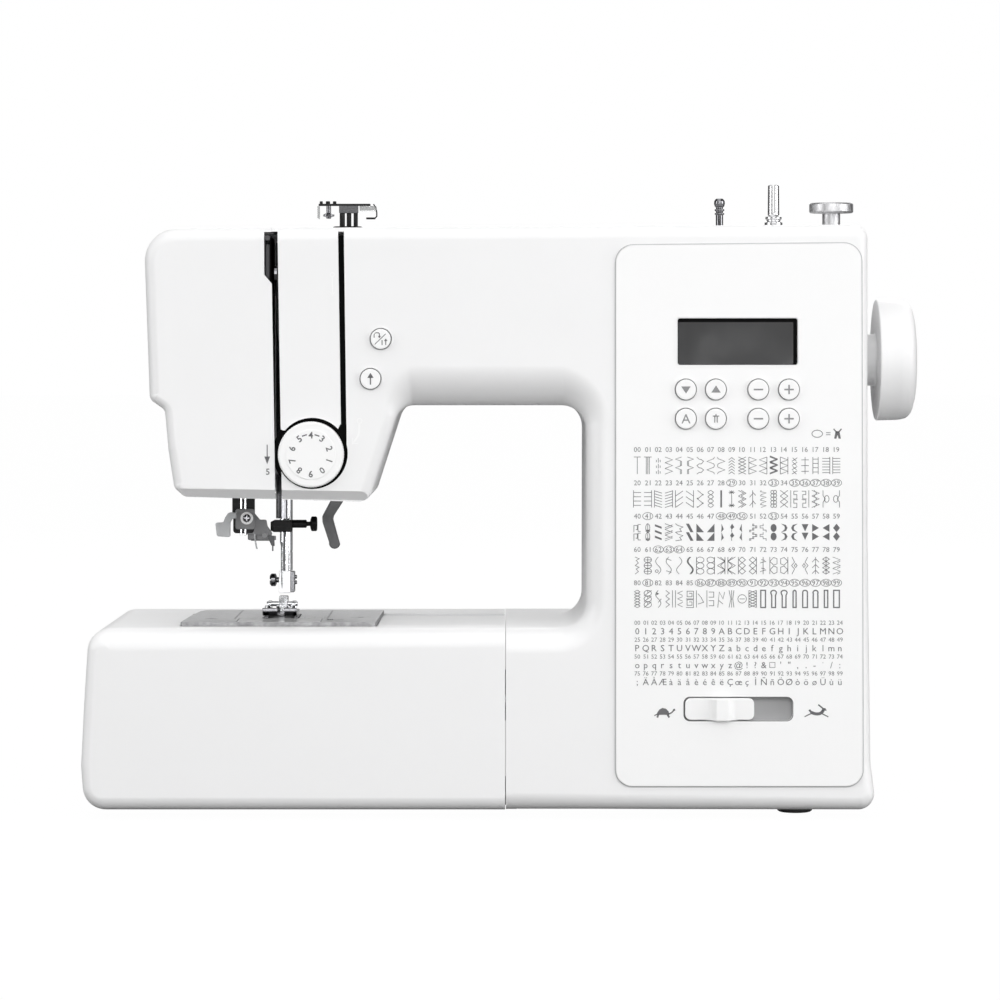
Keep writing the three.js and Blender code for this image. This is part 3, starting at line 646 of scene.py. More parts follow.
def build_rear_cover(shell):
    cuts = [
        *shared_cuts(), rod("y", 4, 25, 50, -86, 172),
        rod("z", 2.9, 270, 300, SPOOL_X, TOP_Y), block(133.8, 147.2, 6.4, 15.6, 280, 300, 4, axis="z"),
        block(170, 192, 32, 56, 30, 50, 3, axis="x"), block(170, 192, 8, 22, 29, 51, 1.5, axis="x"),
    ]
    cuts += [block(70 + 9 * i, 74.5 + 9 * i, 25, 45, 160, 196, 2.2) for i in range(8)]
    cuts += [block(170, 190, -4 + 7 * i, -0.5 + 7 * i, 120, 150, 1.7, axis="x") for i in range(5)]
    cuts += [rod("y", 4.2, 30, 50, x, z) for x, z in SCREW_PLACES]
    rear = boolean(copy_of(shell, "rear_cover_shell"), "INTERSECT", beside_slot(1),
                   block(-250, 250, SPLIT_Y + 0.15, 120, -10, 330))
    boolean(rear, "UNION", *[block(x, x + 8, 30, 42, 278, 289, 2.5, axis="x") for x in (-36, 88)])
    boolean(rear, "DIFFERENCE", *cuts)
    finish_piece(rear, WHITE, "machine_body", ["rear_cover"])


def build_face_cover(shell):
    notch = [(-118.1, 288.6), (-118.0, 267.6), (-113.6, 262.4), (-105, 262.4), (-105, 288.6)]
    face = boolean(copy_of(shell, "face_cover_shell"), "INTERSECT", beside_slot(-1))
    boolean(face, "DIFFERENCE", head_opening(), head_chamfer(), prism("y", notch, -90, -66))
    finish_piece(face, WHITE, "machine_body", ["face_cover"])


def build_casing():
    shell = casing_shell()
    build_front_cover(shell)
    build_rear_cover(shell)
    build_face_cover(shell)
    bpy.data.objects.remove(shell)


def screw(axis, a, b, along, radius, sign):
    """A pan-head screw with a cross recess; sign is the way its head faces."""
    head = turned(axis, [(0, along), (radius, along), (radius, along + sign * 0.5 * radius * 0.8),
                         (radius * 0.55, along + sign * radius * 0.62),
                         (0, along + sign * radius * 0.66)], a, b, 32)
    top = along + sign * radius * 0.66
    low, high = sorted((top - sign * 0.35 * radius, top + sign * 1))
    arms = [(w * radius, h * radius) for w, h in ((0.14, 0.62), (0.62, 0.14))]
    return head, [prism(axis, rectangle(a - w, a + w, b - h, b + h), low, high) for w, h in arms]


def build_slot_lining():
    """Painted shade: black sheets inside the two slots and the dial well; and the guard beside the lever.
    """
    left = slot_x(230) - SLOT_W - 1.6
    piece("take_up_slot_shade", merged(
        block(left, left + 0.6, -79, -48, 162, 286),
        block(slot_x(230) + 1.0, slot_x(230) + 1.6, -79, -48, 194, 286),
    ), SHADE_BLACK)
    piece("guide_slot_shade", merged(block(-90, -71.5, -78.3, -77.3, 182, 287),
                                      block(-110.6, -103, -78.3, -77.3, 184, 198)),
          SHADE_BLACK)
    piece("dial_well_shade", ring_of("y", 3, 19.5, -78.4, -77.4, DIAL_X + 0.5, DIAL_Z + 0.5), SHADE_BLACK)
    piece("take_up_guard", merged(
        block(-119.6, -118.6, -79, -60, 258, 287),
        block(-118.6, -115.2, -62, -61, 258, 287),
        block(-117.9, -115.2, -78.9, -70, 284.4, 287, 0.6, 0.3),
        block(-117.9, -115.4, -76, -70, 264, 283, 1.2, 0.5),
    ), DARK_GREY)


def build_arrows():
    """The printed and raised arrows along the thread path."""
    y = FRONT_Y - PRINT
    down = merged(ribbon([(-116.5, 184.2), (-116.5, 177.5)], 0.5, y),
                  filled([(-117.9, 178.4), (-115.1, 178.4), (-116.5, 174.6)], y),
                  lettering("5", -116.2, 171.0, 4.3, y, bold=0.012))
    piece("thread_path_arrow", down, GREY_PRINT)
    raised = merged(
        ribbon([(-84.6, 266.6), (-84.4, 257.5)], 0.5, y - 0.07, thick=0.12),
        ribbon(circle(-84.6, 267.6, 1.0), 0.4, y - 0.07, thick=0.12),
        ribbon([(-85.4, 259), (-84.4, 257.3), (-83.5, 259)], 0.4, y - 0.07, thick=0.12),
        ribbon(circle(-71.2, 195.9, 1.2), 0.45, y - 0.07, thick=0.12),
        ribbon(soft([(-71.3, 194.6), (-71.5, 189), (-74.2, 185.2)], 3), 0.9, y - 0.07, thick=0.12),
        ribbon([(-74.6, 187.6), (-74.6, 184.7), (-71.8, 184.9)], 0.45, y - 0.07, thick=0.12),
    )
    piece("raised_thread_arrows", raised, PANEL_WHITE)


# ---------------------------------------------------------------- extension table, free arm, base

TABLE = [
    (30, BASE_BOTTOM, 0), (30, BED_TOP, 0), (-204.4, BED_TOP, 11),
    (-206.6, 60, 30), (-208.3, 26, 24), (-206.6, BASE_BOTTOM, 12),
]
TABLE_FRONT_ROUND = [7, 11, 5, 5, 5, 7]
TABLE_REAR_ROUND = [7, 10, 7, 7, 7, 7]


def build_table():
    """The hollow table round the free arm, and the door in its left end."""
    front, rear, wall = TABLE_FRONT_ROUND, TABLE_REAR_ROUND, TABLE_WALL
    outer = mesh_object("extension_table_shell",
                        prism("y", TABLE, FRONT_Y, BASE_REAR_Y, front, rear, steps=6))
    inner = mesh_object("inner", prism("y", TABLE, FRONT_Y + wall, BASE_REAR_Y - wall, front,
                                       rear, wall, steps=6))
    boolean(inner, "DIFFERENCE", block(-169.4, 60, -66.4, 34.4, -10, 110))
    boolean(outer, "DIFFERENCE", block(0.2, 60, -130, 130, -10, 130), inner,
            block(-167, 1, -64, 32, -10, 93, 6, axis="z"), block(-161.3, 1, -64, 32, 90, 110, 3, axis="z"),
            block(-213, -200, -50, 50, 22, 78, 4, axis="x"))
    bpy.data.objects.remove(inner)
    finish_piece(outer, WHITE, "extension_table", ["extension_table"])
    door = prism("y", [(-207.9, 22.4), (-205.4, 22.4), (-204.6, 60), (-203.6, 77.6), (-206.0, 77.6),
                       (-207.2, 60)], -49.6, 49.6)
    piece("accessory_door_leaf", door, WHITE, "accessory_door", ["accessory_door"],
          cuts=[turned("x", [(0, -215), (16, -215), (7, -205.6), (0, -205.4)], 0, 86, 48)])


def build_free_arm():
    """The slim arm under the table, hollow, with openings for the needle plate."""
    def arm(inset, right):
        section = rectangle(-62 + inset, 30 - inset, 36 + inset, 93.5 - inset, 9)
        return prism("x", section, -165.7 + inset, right, 7 - inset, 0, steps=5)
    shell = mesh_object("free_arm_shell", arm(0, 0.2))
    boolean(shell, "DIFFERENCE", arm(2.4, 2.6), block(-160.2, -63, -61, 29.4, 92.9, 96),
            block(-137, -79, -58, 12, 85, 96, 3, axis="z"))
    finish_piece(shell, WHITE, "machine_body", ["free_arm_cover"])


def build_feet():
    """Four rubber feet, each where the frame has it."""
    for name in ("foot_front_right", "foot_rear_right", "foot_front_left", "foot_rear_left"):
        low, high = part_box(name)
        x, y = (low.x + high.x) / 2 / MM, (low.y + high.y) / 2 / MM - CENTRE_Y
        piece(name + "_pad", turned("z", [(0, 0.5), (4.4, 0.5), (5.2, 0), (7.6, 0), (8.7, 0.7), (9, 2),
                                          (9, 4.6), (0, 4.6)],
                                    x, y, 40, 0.5), RUBBER, stands_for=[name])


# ---------------------------------------------------------------- needle plate

def build_needle_plate():
    """The steel plate with its marks, and the bobbin cover and latch set into it."""
    corners = [(-160.8, -62, 1.5), (-63.9, -62, 1.5), (-62.5, 30, 2), (-155, 30, 4), (-157.4, 20, 6),
               (-159.6, -20, 8)]
    cuts = [block(-133.5, -91.2, -60.3, -35.2, 90, 100, 2, axis="z"),
            block(-117.5, -107.7, -23.4, -20.6, 90, 100, 1.3, axis="z"),
            block(-114.4, -110.8, -18.8, -5, 90, 100, 0.5, axis="z"),
            block(-89.4, -80.6, -46.9, -44.1, 90, 100, 1, axis="z")]
    cuts += [block(x - 0.5, x + 2.6, -33, -2, 90, 100, 0.5, axis="z") for x in (-121.3, -106)]
    piece("needle_plate_sheet", prism("z", corners, 93.2, PLATE_TOP, 0, 0.3, steps=2), STEEL,
          stands_for=["needle_plate"], cuts=cuts)
    top = PLATE_TOP
    lines = [ribbon([(x, -34.5), (x, 27)], 0.9, top, "z", 0.12) for x in (-135.5, -89.0)]
    lines += [ribbon([(x, -33), (x, -22)], 0.3, top, "z") for x in (-100.6, -95.6, -90.6)]
    lines += [filled([(-150.4, -38), (-143.8, -38), (-147.6, -32.5)], top, "z"),
              ribbon([(-77.5, -28), (-68, -24)], 0.4, top, "z"),
              ribbon(circle(-72.7, -26, 1.6, 0, 360, 16), 0.35, top, "z")]
    # A black sheet under the latch opening: painted shade.
    piece("latch_opening_shade", block(-91, -79, -49, -42, 91.6, 92.6), SHADE_BLACK)
    piece("needle_plate_marks", merged(*lines), DARK_GREY)
    cover = prism("z", rectangle(-133.2, -91.5, -60, -35.5, 2), 94.4, PLATE_TOP, 0.1, 0.3)
    piece("bobbin_cover_slide", cover, MILKY, "bobbin_cover", ["bobbin_cover"])
    latch = merged(block(-89, -85.4, -46.6, -44.4, 92.2, 95.9, 0.4, 0.2, "z"),
                   *[block(x, x + 0.4, -46.3, -44.7, PLATE_TOP, 96.2) for x in (-88.4, -87.4, -86.4)])
    piece("bobbin_cover_latch_slide_button", latch, BLACK, "bobbin_cover_latch",
          ["bobbin_cover_latch"])


# ---------------------------------------------------------------- control panel

LCD = (84.9, 143.5, 223.4, 246.1)    # left, right, bottom and top of the display


def build_panel():
    """The overlay with its windows and key holes, and the thin seam round it."""
    corners = [(54.6, 16.8, 8), (175.5, 16.8, 8), (174.8, 283.0, 8.6), (54.6, 281.9, 8.6)]
    x0, x1, z0, z1 = LCD
    cuts = [block(x0 - 0.3, x1 + 0.3, -90, -75, z0 - 0.3, z1 + 0.3, 1.2),
            block(87.7, 141.4, -90, -75, 48.7, 60.6, 3)]
    cuts += [rod("y", KEY_R + 0.1, *FRONT_HOLE, *key_place(k)) for k in KEYS]
    piece("control_panel_plate", prism("y", corners, PANEL_FRONT, -82.2, 0.25, 0.0),
          PANEL_WHITE, stands_for=["control_panel"], cuts=cuts)
    edge = [(54.2, 16.4, 8.4), (175.9, 16.4, 8.4), (175.2, 283.4, 9), (54.2, 282.3, 9)]
    piece("panel_seam", closed_line(edge, 0.45, -82.35, 0.35), SEAM_GREY)


def build_display():
    """The display window, sunk in its well, with a raised edge; the black well shows past the glass's top
    and right edges as a band of painted shadow.
    """
    x0, x1, z0, z1 = LCD
    piece("display_well_shade", merged(
        block(x0 + 2, x1 - 2, -79.6, -78.7, z0 + 2, z1 - 2),
        block(x0, x1, -82.2, -81.4, z0, z1, 1.1),
    ), SHADE_BLACK, stands_for=["lcd_window"])
    # The glass stops 1.8 short of the top and 2.0 short of the right, so a painted shadow band of the black
    # well shows there.
    piece("display_glass_plate", block(x0 + 0.2, x1 - 2.0, -82.7, -82.1, z0 + 0.2, z1 - 1.8, 0.6, 0.1),
          DISPLAY)
    edge = rectangle(x0 - 0.9, x1 + 0.9, z0 - 0.9, z1 + 0.9, 1.6)
    piece("display_bezel", closed_line(edge, 0.9, PANEL_FRONT - 0.12, 0.2), PANEL_WHITE)


MINUS = [(0.75, [(-2.3, 0), (2.3, 0)])]
UPRIGHT = (0.75, [(0, -2.3), (0, 2.3)])
KEY_MARKS = {
    "key_select_down": [(0, [(-2.3, 1.5), (2.3, 1.5), (0, -2.0)])],
    "key_select_up": [(0, [(-2.3, -1.5), (2.3, -1.5), (0, 2.0)])],
    "key_width_minus": MINUS, "key_width_plus": MINUS, "key_length_minus": MINUS, "key_length_plus": MINUS,
    "key_twin_needle": [
        (0.5, [(-1.6, 1.3), (1.6, 1.3)]), (0.5, [(-0.6, 1.3), (-0.6, -1.9)]),
        (0.5, [(0.6, 1.3), (0.6, -1.9)]), (0.5, [(0, 1.3), (0, 2.3)]),
    ],
    "reverse_button": [
        (0.45, [(-3.2, 0.6), (-3.2, 3), (-0.6, 3), (-0.6, 1.2)], 1.2),
        (0, [(-1.3, 1.4), (0.1, 1.4), (-0.6, 0.3)]),
        (0.35, [(-2.9, -2.7), (2.5, 2.5)]), (0.45, [(0.7, -3.0), (0.7, -0.6)]),
        (0.45, [(2.5, -3.0), (2.5, -0.8)]), (0, [(1.7, -1), (3.3, -1), (2.5, 0.2)]),
    ],
    "needle_position_button": [(0.6, [(0, -2.8), (0, 0.8)]), (0, [(-1.5, 0.5), (1.5, 0.5), (0, 3.0)])],
}


def key_mark(name, x, z, y):
    """The mark on a key or button."""
    if name == "key_letter_mode":
        return [lettering("A", x, z, 6.6, y)]
    made = drawing(x, z, y, *KEY_MARKS[name])
    if name.endswith("_plus"):
        made += drawing(x, z, y - 0.005, UPRIGHT)
    return made


def build_keys():
    """Every key and button: a domed cap, a thin grey ring on its rim that is painted shade of the gap round
    it, and its printed mark.
    """
    for name in KEYS + HEAD_BUTTONS:
        x, z = key_place(name)
        face = -84.6 if name in KEYS else -83.6
        cap = turned("y", [(0, face + 0.15), (3.2, face + 0.08), (4.3, face), (4.9, face + 0.15),
                           (5.15, face + 0.6), (5.15, -79.2), (6.4, -79.2), (6.4, -78), (0, -78)], x, z, 48)
        piece(name + "_cap", cap, KEY_WHITE, name, [name])
        # The grey ring on the cap's rim is painted shade of the gap round the key; the mark inside it is
        # print.
        ring = ring_of("y", 4.98, 5.17, face + 0.12, face + 0.5, x, z)
        piece(name + "_mark", merged(ring, *key_mark(name, x, z, face + 0.02)),
              GAP_SHADE_AND_PRINT_GREY if name in KEYS else GREY_PRINT, name)


TURTLE = [
    (0, [(-3.7, -0.8), (2.4, -0.8), (2.2, 0.8), (0.9, 2.2), (-0.9, 2.6), (-2.4, 1.8), (-3.3, 0.5)]),
    (0.7, [(1.8, -0.5), (3.6, 0.2), (4.8, 1.5)], 1), (0, [(4.2, 1.2), (5.4, 1.2), (5.3, 2.2), (4.4, 2.1)]),
    (0.9, [(-2.9, -0.7), (-3.4, -2.1)]), (0.9, [(1.6, -0.7), (2.5, -2.1)]),
    (0.5, [(-3.3, -0.4), (-4.9, -1.2)]),
]
HARE = [
    (1.5, [(-2.6, 0.2), (-0.5, -0.6), (2.0, -0.4), (3.4, 1.3)], 1.2),
    (0, [(2.4, 1.0), (5.0, 1.1), (4.2, 2.4), (2.9, 2.2)]), (0.7, [(3.2, 2.1), (0.8, 4.0)]),
    (0.55, [(2.6, -0.4), (5.8, -2.0)]), (0.55, [(-2.4, -0.2), (-5.9, -1.9)]),
    (1.0, [(-2.6, 0.2), (-3.6, 1.5)]),
]


def build_slider():
    """The speed slider and its thumb piece, the slot's floor and edge, and the marks at its ends."""
    z0, z1 = 49.3, 60.0
    plate = block(88.4, 122.3, -83.6, -79.2, z0, z1, 2.8, 0.4)
    ridge = [(98.5, -83.2, 0), (101.6, -84.0, 2), (103.4, -87.2, 1.5), (109.6, -87.2, 1.5),
             (111.6, -84.0, 2), (114.6, -83.2, 0), (114.6, -82.4, 0), (98.5, -82.4, 0)]
    thumb = prism("z", ridge, z0 - 0.3, z1 - 0.2, 0.5)
    piece("speed_slider_knob", merged(plate, thumb), KEY_WHITE, "speed_slider", ["speed_slider"])
    piece("speed_slot_floor", block(86.6, 142.6, -79.1, -78.3, 47.6, 61.6), SLOT_FLOOR)
    edge = closed_line(rectangle(87.8, 141.3, 48.8, 60.5, 3), 0.35, PANEL_FRONT - 0.03, 0.1)
    piece("speed_slot_edge", edge, GREY_PRINT)
    y = PANEL_FRONT - PRINT
    marks = drawing(78.2, 52.6, y, *TURTLE) + drawing(152.9, 52.8, y, *HARE)
    piece("speed_icons", merged(*marks), GREY_PRINT)


# Lines and areas for the stitch marks, in a cell from x -1 to 1 and y 0 to 1.
ZIG = [(-1, 0), (1, 0.5), (-1, 1)]
WAVE = [(0.7 * math.sin(t * math.tau / 12), t / 12) for t in range(13)]
WAVES = [(-x, y) for x, y in WAVE]
LEFT, RIGHT, MID = [(-1, 0), (-1, 1)], [(1, 0), (1, 1)], [(0, 0), (0, 1)]
RUNG = [(-1, 0.5), (1, 0.5)]
CROSS = [[(-1, 0), (1, 1)], [(1, 0), (-1, 1)]]
OVAL = oval(0, 0.5, 1, 0.5, 12)
SMALL = [(0.55 * x, y) for x, y in OVAL]
DIAMOND = [(0, 0), (0.9, 0.5), (0, 1), (-0.9, 0.5), (0, 0)]
STEP = [(-0.8, 0), (-0.8, 0.25), (0, 0.25), (0, 0.5), (0.8, 0.5), (0.8, 0.75), (0, 0.75), (0, 1)]
HEART = [(-1, 0.5), (0, 0.95), (0.9, 0.8), (0.9, 0.2), (0, 0.05), (-1, 0.5)]
LEAF = [(0, 0), (0.7, 0.35), (0.1, 1), (0.1, 0.45), (0, 0)]
CREST = [(-0.8, 0), (0.5, 0.15), (0.9, 0.5), (0.5, 0.85), (-0.8, 1), (0.1, 0.7), (0.2, 0.5), (0.1, 0.3)]


def flip(lines):
    """Lines mirrored from left to right."""
    return [[(-x, y) for x, y in line] for line in lines]


def both(repeats, lines, fills=()):
    """A mark and its mirror image."""
    return [(repeats, lines, fills), (repeats, flip(lines), flip(fills))]


def arch(width, start, end, middle, rise):
    turns = [math.radians(t) for t in range(start, end, 30)]
    return [(width * math.cos(t), middle + rise * math.sin(t)) for t in turns]


def keyhole(width, round_top, head=0.0):
    """A tall buttonhole: square or round at the top, or with a wider head."""
    if head:
        top = [(width, 0.7), *arch(width + head, -30, 211, 0.86, 0.14), (-width, 0.7)]
    elif round_top:
        top = arch(width, 0, 181, 0.9, 0.1)
    else:
        top = [(width, 1), (-width, 1)]
    return (1, [[(-width, 0), (width, 0), *top, (-width, 0)]], (), 0.62)


# Each mark is repeats, lines, areas and line width; the last two may be left out.
STITCHES = [
    # 00 to 19
    (1, [MID, [(-0.9, 1), (0.9, 1)]]),
    (1, [MID, [(-0.4, 0), (-0.4, 1)], [(0.4, 0), (0.4, 1)], [(-1, 1), (1, 1)]]),
    (3, [[(0, 0), (0, 0.8)], [(-0.5, 0.1), (-0.5, 0.5)], [(0.5, 0.1), (0.5, 0.5)]]),
    (3, [ZIG]),
    *both(2, [[(0.6, 0), (0.6, 0.5), (-1, 0.75), (0.6, 1)], [(0.3, 0), (0.3, 0.5)]]),
    (2, [[(-0.9, 0), (-0.3, 0.2), (0.3, 0.2), (0.9, 0.5), (0.3, 0.7), (-0.3, 0.75), (-0.9, 1)]]),
    *both(2, [[(1, 0), (0.8, 0.2), (-1, 0.5), (0.8, 0.8), (1, 1)]]),
    (6, [[(-0.8, 0), (0, 0.8), (0.8, 0)]]),
    (5, CROSS),
    *both(3, [ZIG, LEFT]),
    (3, [ZIG, [(-1, 0.2), (1, 0.7), (-1, 1.2)], [(-1, 0.1), (1, 0.6), (-1, 1.1)]]),
    (3, [ZIG, LEFT, RIGHT]),
    (4, [[(-0.7, 0), (0.7, 0.8)], [(0.5, 0), (-0.5, 0.8)]]),
    (3, [MID, RUNG]),
    (4, [[(-0.7, 0), (-0.7, 1)], [(0.7, 0), (0.7, 1)], [(-0.7, 0.5), (0.7, 0.5)]]),
    (6, [RIGHT, RUNG]),
    (6, [LEFT, RUNG]),
    # 20 to 39
    (4, [LEFT, RUNG]),
    (4, [RIGHT, RUNG]),
    *both(6, [LEFT, [(-1, 0.8), (1, 0)]]),
    *both(3, [LEFT, [(-1, 0), (1, 0.9)]]),
    (2, [[(-0.7, 0), (0.7, 0.5), (-0.7, 1)]], [[(-0.9, 0.0), (-0.5, 0.0), (-0.5, 0.12), (-0.9, 0.12)],
                                               [(0.5, 0.44), (0.9, 0.44), (0.9, 0.56), (0.5, 0.56)]]),
    (2, [WAVE, WAVES]),
    (1, [], [[(-0.22, 0), (0.22, 0), (0.22, 1), (-0.22, 1)]]),
    (1, [MID, [(-0.8, 0.88), (0.8, 0.88)], [(-0.6, 0.8), (0.6, 0.97)], [(0.6, 0.8), (-0.6, 0.97)],
         [(-0.8, 0.12), (0.8, 0.12)], [(-0.6, 0.04), (0.6, 0.2)], [(0.6, 0.04), (-0.6, 0.2)]]),
    (3, [[(-1, 0), (0.4, 0.5), (-1, 1)], [(-0.3, 0), (1, 0.5), (-0.3, 1)]]),
    (2, [MID, [(0, 0.6), (-0.8, 0.2)], [(0, 0.8), (0.8, 0.4)]]),
    (4, [[(-0.5, 0), (0.8, 0.4), (-0.7, 0.7), (-0.5, 1)]]),
    (5, [[(-0.35 + 0.4 * x, y) for x, y in OVAL], [(0.4 + 0.4 * x, y) for x, y in OVAL]]),
    (3, CROSS),
    *both(2, [LEFT, [(-0.4, 0), (0.6, 0), (0.6, 0.5), (-0.2, 0.5), (-0.2, 0.9), (0.9, 0.9)]]),
    (3, [ZIG, [(-0.4, 0), (0.3, 0.5), (-0.4, 1)]]),
    (1, [[(-0.8, 0), (-0.8, 0.3), (-0.2, 0.5), (-0.8, 0.7), (-0.8, 1)],
         [(0.2 + 0.6 * x, 0.3 + 0.4 * y) for x, y in OVAL]]),
    (1, [[(0.8, 0), (0.8, 0.3), (0.2, 0.5), (0.8, 0.7), (0.8, 1)],
         [(-0.2 + 0.6 * x, 0.3 + 0.4 * y) for x, y in OVAL]]),
    # 40 to 59
    (2, [[(-0.9, 0), (-0.9, 0.8), (0, 0.8), (0, 0.3), (-0.4, 0.3)],
         [(0.9, 0.1), (0.2, 0.1), (0.2, 0.9), (0.9, 0.9)]]),
    (2, [MID, SMALL, [(-0.6, 0.1), (0.6, 0.3)], [(0.6, 0.1), (-0.6, 0.3)]]),
    (3, [], [[(-0.9, 0.55), (0.9, 0.1), (0.9, 0.45), (-0.9, 0.9)]]),
    (3, [ZIG, [(-1, 0.3), (1, 0.8)]]),
    (2, [[(-1, 0), (0.6, 0.1), (0.1, 0.4), (1, 0.6), (-0.4, 0.8), (-1, 1)]]),
    (2, [], [[(-1, 1), (-0.2, 1), (1, 0), (0.2, 0)]]),
    *both(2, [], [[(-1, 0), (1, 0), (-1, 1)]]),
    (2, [], [LEAF[:-1]]),
    (2, [[(0, 0), (0, 0.3)]], [[(0, 0.3), (0.7, 0.6), (0.1, 1), (-0.4, 0.6)]]),
    (2, [], [flip([LEAF])[0][:-1]]),
    (2, [STEP, [(x + 0.3, y) for x, y in STEP]]),
    (2, [[(-x, y) for x, y in STEP]]),
    (2, [], [[(0.8 * x, 0.03 + 0.94 * y) for x, y in OVAL[:-1]]]),
    *both(2, [], [CREST]),
    (2, [], [[(-0.9, 0.95), (0, 0.1), (0.9, 0.95)]]),
    *both(1, [], [[(-0.9, 0.02), (0.9, 0.25), (-0.9, 0.48)], [(-0.9, 0.52), (0.9, 0.75), (-0.9, 0.98)]]),
    (2, [], [DIAMOND[:-1]]),
    # 60 to 79
    (2, [[(-0.6, 0), (0.3, 0.3), (-0.3, 0.6), (0.5, 0.8), (-0.6, 1)]]),
    (3, [OVAL, MID, [(-0.9, 0.5), (0.9, 0.5)]]),
    (1, [WAVE, [(-0.4 + 0.4 * x, 0.1 + 0.15 * y) for x, y in OVAL]]),
    (1, [WAVE, [(-0.7, 0.2), (0.7, 0.1)], [(-0.7, 0.9), (0.7, 0.8)]]),
    (1, [WAVES]),
    (1, [WAVE, [(x + 0.15, y) for x, y in WAVE], [(x + 0.3, y) for x, y in WAVE]]),
    (3, [LEFT, OVAL]),
    (3, [RIGHT, OVAL]),
    *both(2, [ZIG, [(-0.2, 0), (1, 0.5), (-0.2, 1)], RIGHT]),
    (3, [LEFT, DIAMOND]),
    (3, [RIGHT, DIAMOND]),
    (2, [MID, [(-0.8, 0.3), (0.8, 0.5)], [(-0.5, 0.7), (0.5, 0.6)]]),
    *both(2, [LEFT, HEART]),
    (1, [[(-0.7, 0), (0, 0.3), (-0.8, 0.5), (0, 0.7), (-0.7, 1)],
         [(0.3 + 0.4 * x, 0.38 + 0.24 * y) for x, y in DIAMOND]]),
    (1, [[(0.7, 0), (0, 0.3), (0.8, 0.5), (0, 0.7), (0.7, 1)],
         [(-0.3 + 0.4 * x, 0.38 + 0.24 * y) for x, y in DIAMOND]]),
    (3, [MID, [(-0.9, 0.1), (0, 0.7), (0.9, 0.1)]]),
    (4, [MID, DIAMOND]),
    (3, [ZIG, [(0.2, 0), (1, 0.25)]]),
    # 80 to 99
    (3, [WAVE, WAVES]),
    (3, [OVAL, [(0, 0.5), (0, 1)], CROSS[0]]),
    (1, [WAVE, [(0, 0.3), (0.8, 0.5)]], [[(-0.5, 0.7), (0.2, 0.8), (-0.5, 0.9)]]),
    (3, [RIGHT, [(-0.8, 0), (0.2, 0.5), (-0.8, 1)]]),
    (3, [LEFT, [(0.9, 0.1), (-0.4, 0.5), (0.9, 0.9)]]),
    (2, [[(-1, 0), (1, 0), (1, 0.9), (-0.7, 0.9), (-0.7, 0.25), (0.6, 0.25), (0.6, 0.65), (-0.2, 0.65)]]),
    (1, [LEFT, [(-0.6, 0.2), (0.9, 0.3), (0.2, 0.6), (-0.6, 0.8)]]),
    (2, [LEFT, [(-0.5, 0.2), (0.8, 0.2), (0.8, 0.8), (-0.5, 0.8)]]),
    (1, [[(-0.9, 0), (-0.5, 0.9), (0.5, 0.5), (0.9, 0.9)], [(-0.6, 0.4), (0.5, 0.2)]]),
    (1, [MID, [(-0.7, 0), (-0.2, 0.5), (-0.7, 1)], [(0.6, 0), (0.3, 0.5), (0.6, 1)]]),
    (1, [[(1.15 * x, 0.25 + 0.5 * y) for x, y in OVAL], [(-0.7, 0.5), (0.7, 0.5)]]),
    (6, CROSS + [LEFT, RIGHT]),
    keyhole(0.62, False),
    keyhole(0.5, True, 0.25),
    keyhole(0.5, True, 0.3),
    keyhole(0.4, True),
    keyhole(0.62, True),
    keyhole(0.62, True, 0.05),
    keyhole(0.45, False),
    keyhole(0.75, False),
]
ROUNDED_NUMBERS = {29, 33, 35, 36, 37, 38, 39, 41, 48, 49, 50, 53, 62, 63, 64, 81} | set(range(86, 100))
STITCH_X, STITCH_PITCH, STITCH_Z, STITCH_ROW = 65.0, 5.14, 181.9, 16.34
LETTER_X, LETTER_PITCH, LETTER_Z, LETTER_ROW = 65.0, 4.137, 97.0, 8.3
LETTERS = ("0123456789ABCDEFGHIJKLMNO" "PQRSTUVWXYZabcdefghijklmn" "opqrstuvwxyz@!?&□'\",.-˙/:"
           ";ÄÅÆàäåèéêëÇœçÌÑñÖØòöøÜùü")


def stitch_mark(x, z, y, repeats, lines, fills=(), width=0.3):
    """One mark of the chart, its pattern repeated up the cell."""
    half, height = 1.85, 8.4

    def at(px, py, k):
        return (x + px * half, z - height / 2 + height * (k + py) / repeats)
    made = []
    for k in range(repeats):
        made += [ribbon([at(*p, k) for p in line], width, y) for line in lines]
        made += [filled([at(*p, k) for p in shape], y) for shape in fills]
    return made


BLANK_BOX = (0.25, [(-1.3, -5.4), (1.3, -5.4), (1.3, -2.9), (-1.3, -2.9), (-1.3, -5.4)])
FOOT_CHOICE = [
    (0.35, [(4.2, 0.5), (6.4, 0.5)]), (0.35, [(4.2, -0.5), (6.4, -0.5)]),
    (0.6, [(7.9, 2.4), (9.2, 0.9), (10.5, 0.9), (11.8, 2.4)]),
    (0, [(8.9, 1.2), (8.2, -2.4), (9.3, -2.4), (9.85, -0.6), (10.4, -2.4), (11.5, -2.4), (10.8, 1.2)]),
]


